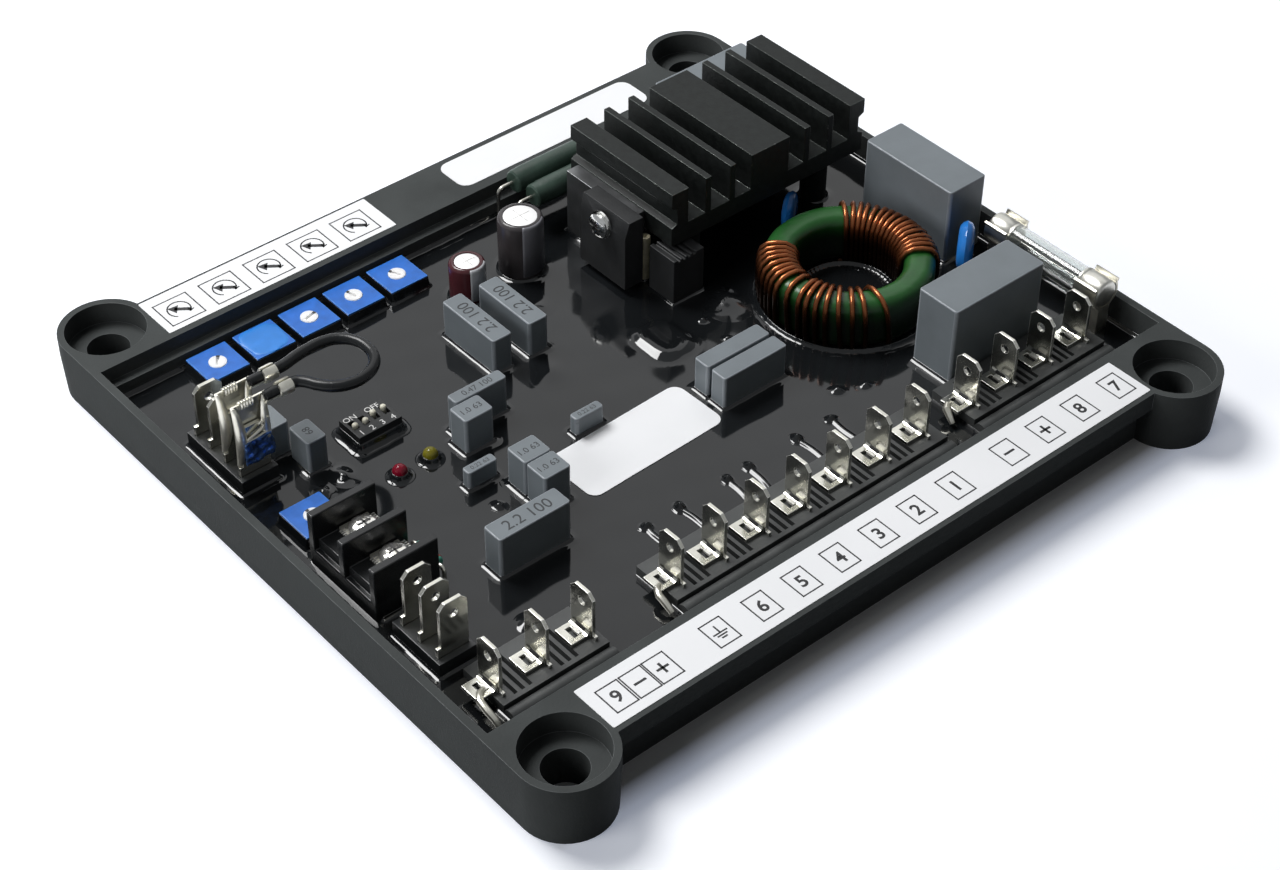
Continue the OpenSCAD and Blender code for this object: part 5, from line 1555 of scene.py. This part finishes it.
spare_feet = add_piece("spare_feet", joined([
    tube([
        (-80.2, -52.0, 10.4), (-81.5, -52.6, 10.6), (-82.5, -54.0, 10.5), (-82.7, -56.5, 10.0),
        (-82.6, -58.3, 9.4), (-82.4, -59.3, 8.2),
    ], [0.55, 0.7, 0.75, 0.75, 0.7, 0.6], 10),
    tube([
        (-38.6, -52.2, 10.2), (-39.8, -52.8, 10.4), (-40.5, -54.2, 10.2), (-40.6, -56.4, 9.6),
        (-40.4, -57.9, 8.4),
    ], [0.55, 0.7, 0.75, 0.72, 0.6], 10),
    tube([
        (40.6, -50.6, 10.0), (39.4, -50.8, 10.4), (38.5, -51.4, 10.2), (38.1, -52.8, 9.4), (38.0, -53.9, 8.2),
    ], [0.5, 0.7, 0.8, 0.72, 0.6], 10),
]), bright_tin)

# Headers
# Two black nylon housings along the left wall hold stamped tabs in a row, tight together. The back one
# takes the jumper wire.
for node in ("back_header", "front_header"):
    rounded_copy(node, 0.2, nylon, steps=2)

# Barrier terminal
# A glossy black moulding with three tall walls that keep the two clamps apart. Its foot stands in the
# resin.
barrier_black = finish(
    "barrier_black", (0.013, 0.014, 0.015), 0.24, spread=0.2, patch=120.0, grain=900.0, depth=0.03,
)
rounded_copy("barrier_block", 0.28, barrier_black, steps=3)

# Clamp plates and screws
# Each screw draws a serrated square washer down on its wire. They are nickel plated, with a combined slot
# and cross in a domed head.
rounded_copy("clamp_plates", 0.12, bright_tin, steps=2)
screw_nickel = finish(
    "screw_nickel", (0.98, 0.95, 0.85), 0.2, spread=0.2, patch=1100.0, grain=520.0, depth=0.5, metallic=0.9,
)
HEAD_SWELL = 0.25
HEAD_H = 2.0
SHANK_R = 1.3
SHANK_CLEAR = 4.0
TEETH = 9
TOOTH_PITCH = 0.6
TEETH_HALF = 2.4
DRIVE_LINE = 0.4
DRIVE_H = 0.5
screws = []
washers = []
drive_shades = []
for low, high in solids_of("terminal_screws"):
    x, y, _ = foot_of(low, high)
    r = (high[0] - low[0]) / 2 + HEAD_SWELL
    seat = high[2] - HEAD_H
    head = [
        (0, r - 0.1), (0.1, r), (0.75, r), (1.2, r - 0.25), (1.6, r - 0.8), (1.88, r - 1.6), (HEAD_H, 0.4),
        (HEAD_H, 0.0),
    ]
    screws.append(lathe(head, (x, y, seat), (0, 0, 1), 36))
    shank = [(-seat + BOARD_TOP + SHANK_CLEAR, SHANK_R), (0.0, SHANK_R)]
    screws.append(lathe(shank, (x, y, seat), (0, 0, 1), 20))
    for k in range(TEETH):
        for way in (-1, 1):
            tooth = (x + way * (r + 0.1), y - TEETH_HALF + TOOTH_PITCH * k, seat + 0.06)
            washers.append(bar(tooth, (1.5, 0.3, 0.22)))
    # The slot and the cross are dark bars on the head: painted shade for the drive's recess.
    drive_shades.append(bar((x, y, high[2] - 0.2), (2 * r - 3.4, DRIVE_LINE, DRIVE_H)))
    drive_shades.append(bar((x, y, high[2] - 0.2), (DRIVE_LINE, 2 * r - 3.8, DRIVE_H)))
turned = add_piece("terminal_screws_turned", joined(screws), screw_nickel)
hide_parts("terminal_screws")
# The washer teeth take the same pale finish, a painted highlight.
teeth = add_piece("washer_teeth", joined(washers), tab_edge_highlight)
recess_shade = add_piece("screw_drive_shades", joined(drive_shades), slot_shade)

# Trimmer bodies
# Single-turn trimmers in square blue housings, sealed with resin from below. The white rotor sits in a
# round well in the top, and the row stands shoulder to shoulder.
TRIMMER_BLUE = (0.009, 0.125, 0.51)
trimmer_plastic = finish(
    "trimmer_plastic", TRIMMER_BLUE, 0.36, spread=0.14, patch=420.0, grain=1500.0, depth=0.03,
)
# The housings' rounded edges are a lighter blue: painted highlight.
trimmer_edge_highlight = finish("trimmer_edge_highlight", (0.03, 0.19, 0.62), 0.28, spread=0.2, patch=500.0, grain=1500.0)
rounded_copy("trimmer_bodies", 0.16, trimmer_plastic, steps=2, edge_material=trimmer_edge_highlight)

# Seal of the second trimmer
# After setting, a drop of blue lacquer was brushed over the rotor. It dried as a thin uneven skin, which
# covers the housing's top nearly to its edges.
seal_low, seal_high = corners_of("trimmer_seal")
SEAL_X, SEAL_Y, SEAL_Z = foot_of(seal_low, seal_high)
SEAL_R = 4.55
SEAL_SQUARE = 3.4
SEAL_LEVELS = (
    (1.0, 0.0), (0.985, 0.05), (0.95, 0.09), (0.85, 0.12), (0.7, 0.13), (0.5, 0.15), (0.3, 0.14),
    (0.12, 0.15),
)
seal_rings = []
for share, lift in SEAL_LEVELS:
    ring = []
    for k in range(48):
        a = 2 * math.pi * k / 48
        square = (abs(math.cos(a)) ** SEAL_SQUARE + abs(math.sin(a)) ** SEAL_SQUARE) ** (-1 / SEAL_SQUARE)
        wander = 1 + 0.02 * math.sin(3 * a + 0.5) + 0.015 * math.sin(7 * a) + 0.012 * math.sin(13 * a + 2)
        r = SEAL_R * square * share * wander
        dent = 0.02 * math.sin(5 * a + 9 * share) * share
        ring.append((SEAL_X + r * math.cos(a), SEAL_Y + r * math.sin(a), SEAL_Z + lift + dent * (lift > 0)))
    seal_rings.append(ring)
lacquer = finish("lacquer", (0.018, 0.19, 0.60), 0.34, spread=0.1, patch=300.0, grain=300.0, depth=0.03)
seal = add_piece("lacquer_seal", skin(seal_rings), lacquer)
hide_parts("trimmer_seal")

# Rotors
# White moulded rotors with a narrow slot and a notch at the rim that points to the setting. Each turns in
# its own well.
rotor_white = finish("rotor_white", (0.86, 0.86, 0.85), 0.4, spread=0.03, patch=500.0, grain=1800.0)
set_inputs(rotor_white.node_tree.nodes["Principled BSDF"], {
    "Subsurface Weight": 0.8, "Subsurface Radius": (1.0, 1.0, 1.0), "Subsurface Scale": 1.5 * MM,
})
ROTOR_SETTING = {1: 55, 3: 14, 4: 105, 5: 116, 6: 100}
NOTCH_OUT = (1.35, 1.88)
NOTCH_HALF = 0.36
for number, setting in ROTOR_SETTING.items():
    name = f"rotor_{number}"
    rounded_copy(name, 0.06, rotor_white, steps=2, body=name + "_part")
    low, high = corners_of(name)
    x, y, _ = foot_of(low, high)
    c = math.cos(math.radians(setting))
    s = math.sin(math.radians(setting))
    # A dark slab in the rim's notch: painted shade for its depth.
    notch_shade = []
    for out, side in ((NOTCH_OUT[0], -1), (NOTCH_OUT[1], -1), (NOTCH_OUT[1], 1), (NOTCH_OUT[0], 1)):
        notch_shade.append((x + out * c - side * NOTCH_HALF * s, y + out * s + side * NOTCH_HALF * c))
    recess_shade = flat_slab(notch_shade, high[2] - 0.1, high[2] + 0.01)
    shade = add_piece(name + "_notch", recess_shade, slot_shade, body=name + "_part")

# Switch
# A four-way switch in a black moulding. Cream sliders with round heads stand out of its slots. The ways are
# numbered in white below them, and ON and OFF stand above.
KNOB_R = 0.66
NECK_R = 0.6
WAY_INSET = 1.15
WAY_H = 1.5
WORD_H = 1.4
knob_cream = finish(
    "knob_cream", (0.74, 0.72, 0.60), 0.34, spread=0.04, patch=700.0, grain=1500.0, depth=0.01,
)
rounded_copy("switch_body", 0.14, epoxy_black, steps=2)
ways = []
for number in (1, 2, 3, 4):
    name = f"slider_{number}"
    low, high = corners_of(name)
    middle = foot_of(low, high)
    top = high[2] - low[2]
    knob_profile = [
        (0.0, 0.52), (0.15, NECK_R), (top - 1.05, NECK_R), (top - 0.85, KNOB_R), (top - 0.45, KNOB_R),
        (top - 0.2, 0.58), (top - 0.06, 0.4), (top, 0.15), (top, 0.0),
    ]
    knob_shape = lathe(knob_profile, middle, (0, 0, 1), 24)
    knob = add_piece(name + "_knob", knob_shape, knob_cream, body=name + "_part")
    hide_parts(name)
    ways.append((str(number), middle[0]))
switch_print = []
for figure, x in ways:
    switch_print.append(printed_word(figure, x, switch_low[1] + WAY_INSET, switch_high[2], WAY_H))
for word, x in (("ON", switch_low[0] + 1.9), ("OFF", switch_high[0] - 3.2)):
    switch_print.append(printed_word(word, x, switch_high[1] - WAY_INSET, switch_high[2], WORD_H))
print_white = finish("print_white", (0.75, 0.75, 0.74), 0.5, spread=0.05, grain=2500.0, depth=0.004)
add_piece("switch_print", joined(switch_print), print_white, sharp=20.0)

# Lamps
# Two small lamps, one red and one yellow-green. They are tinted clear epoxy domes, sunk in the resin to
# their shoulders.
LAMP_TINTS = (("lamp_red", (0.22, 0.004, 0.020)), ("lamp_green", (0.19, 0.17, 0.012)))
for name, tint_colour in LAMP_TINTS:
    low, high = corners_of(name)
    r = (high[0] - low[0]) / 2
    h = high[2] - low[2]
    place = foot_of(low, high)
    dome = [(0, r)]
    for k in range(10):
        a = math.radians(90 * k / 9)
        dome.append((h - r + r * math.sin(a), r * math.cos(a)))
    epoxy = finish(
        name + "_epoxy", tint_colour, 0.12, spread=0.2, patch=300.0, grain=300.0, depth=0.01, ior=1.5,
        sheen=0.3,
    )
    set_inputs(epoxy.node_tree.nodes["Principled BSDF"], {"Transmission Weight": 0.15})
    bulb = add_piece(name + "_dome", lathe(dome, place, (0, 0, 1), 40), epoxy)
    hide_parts(name)
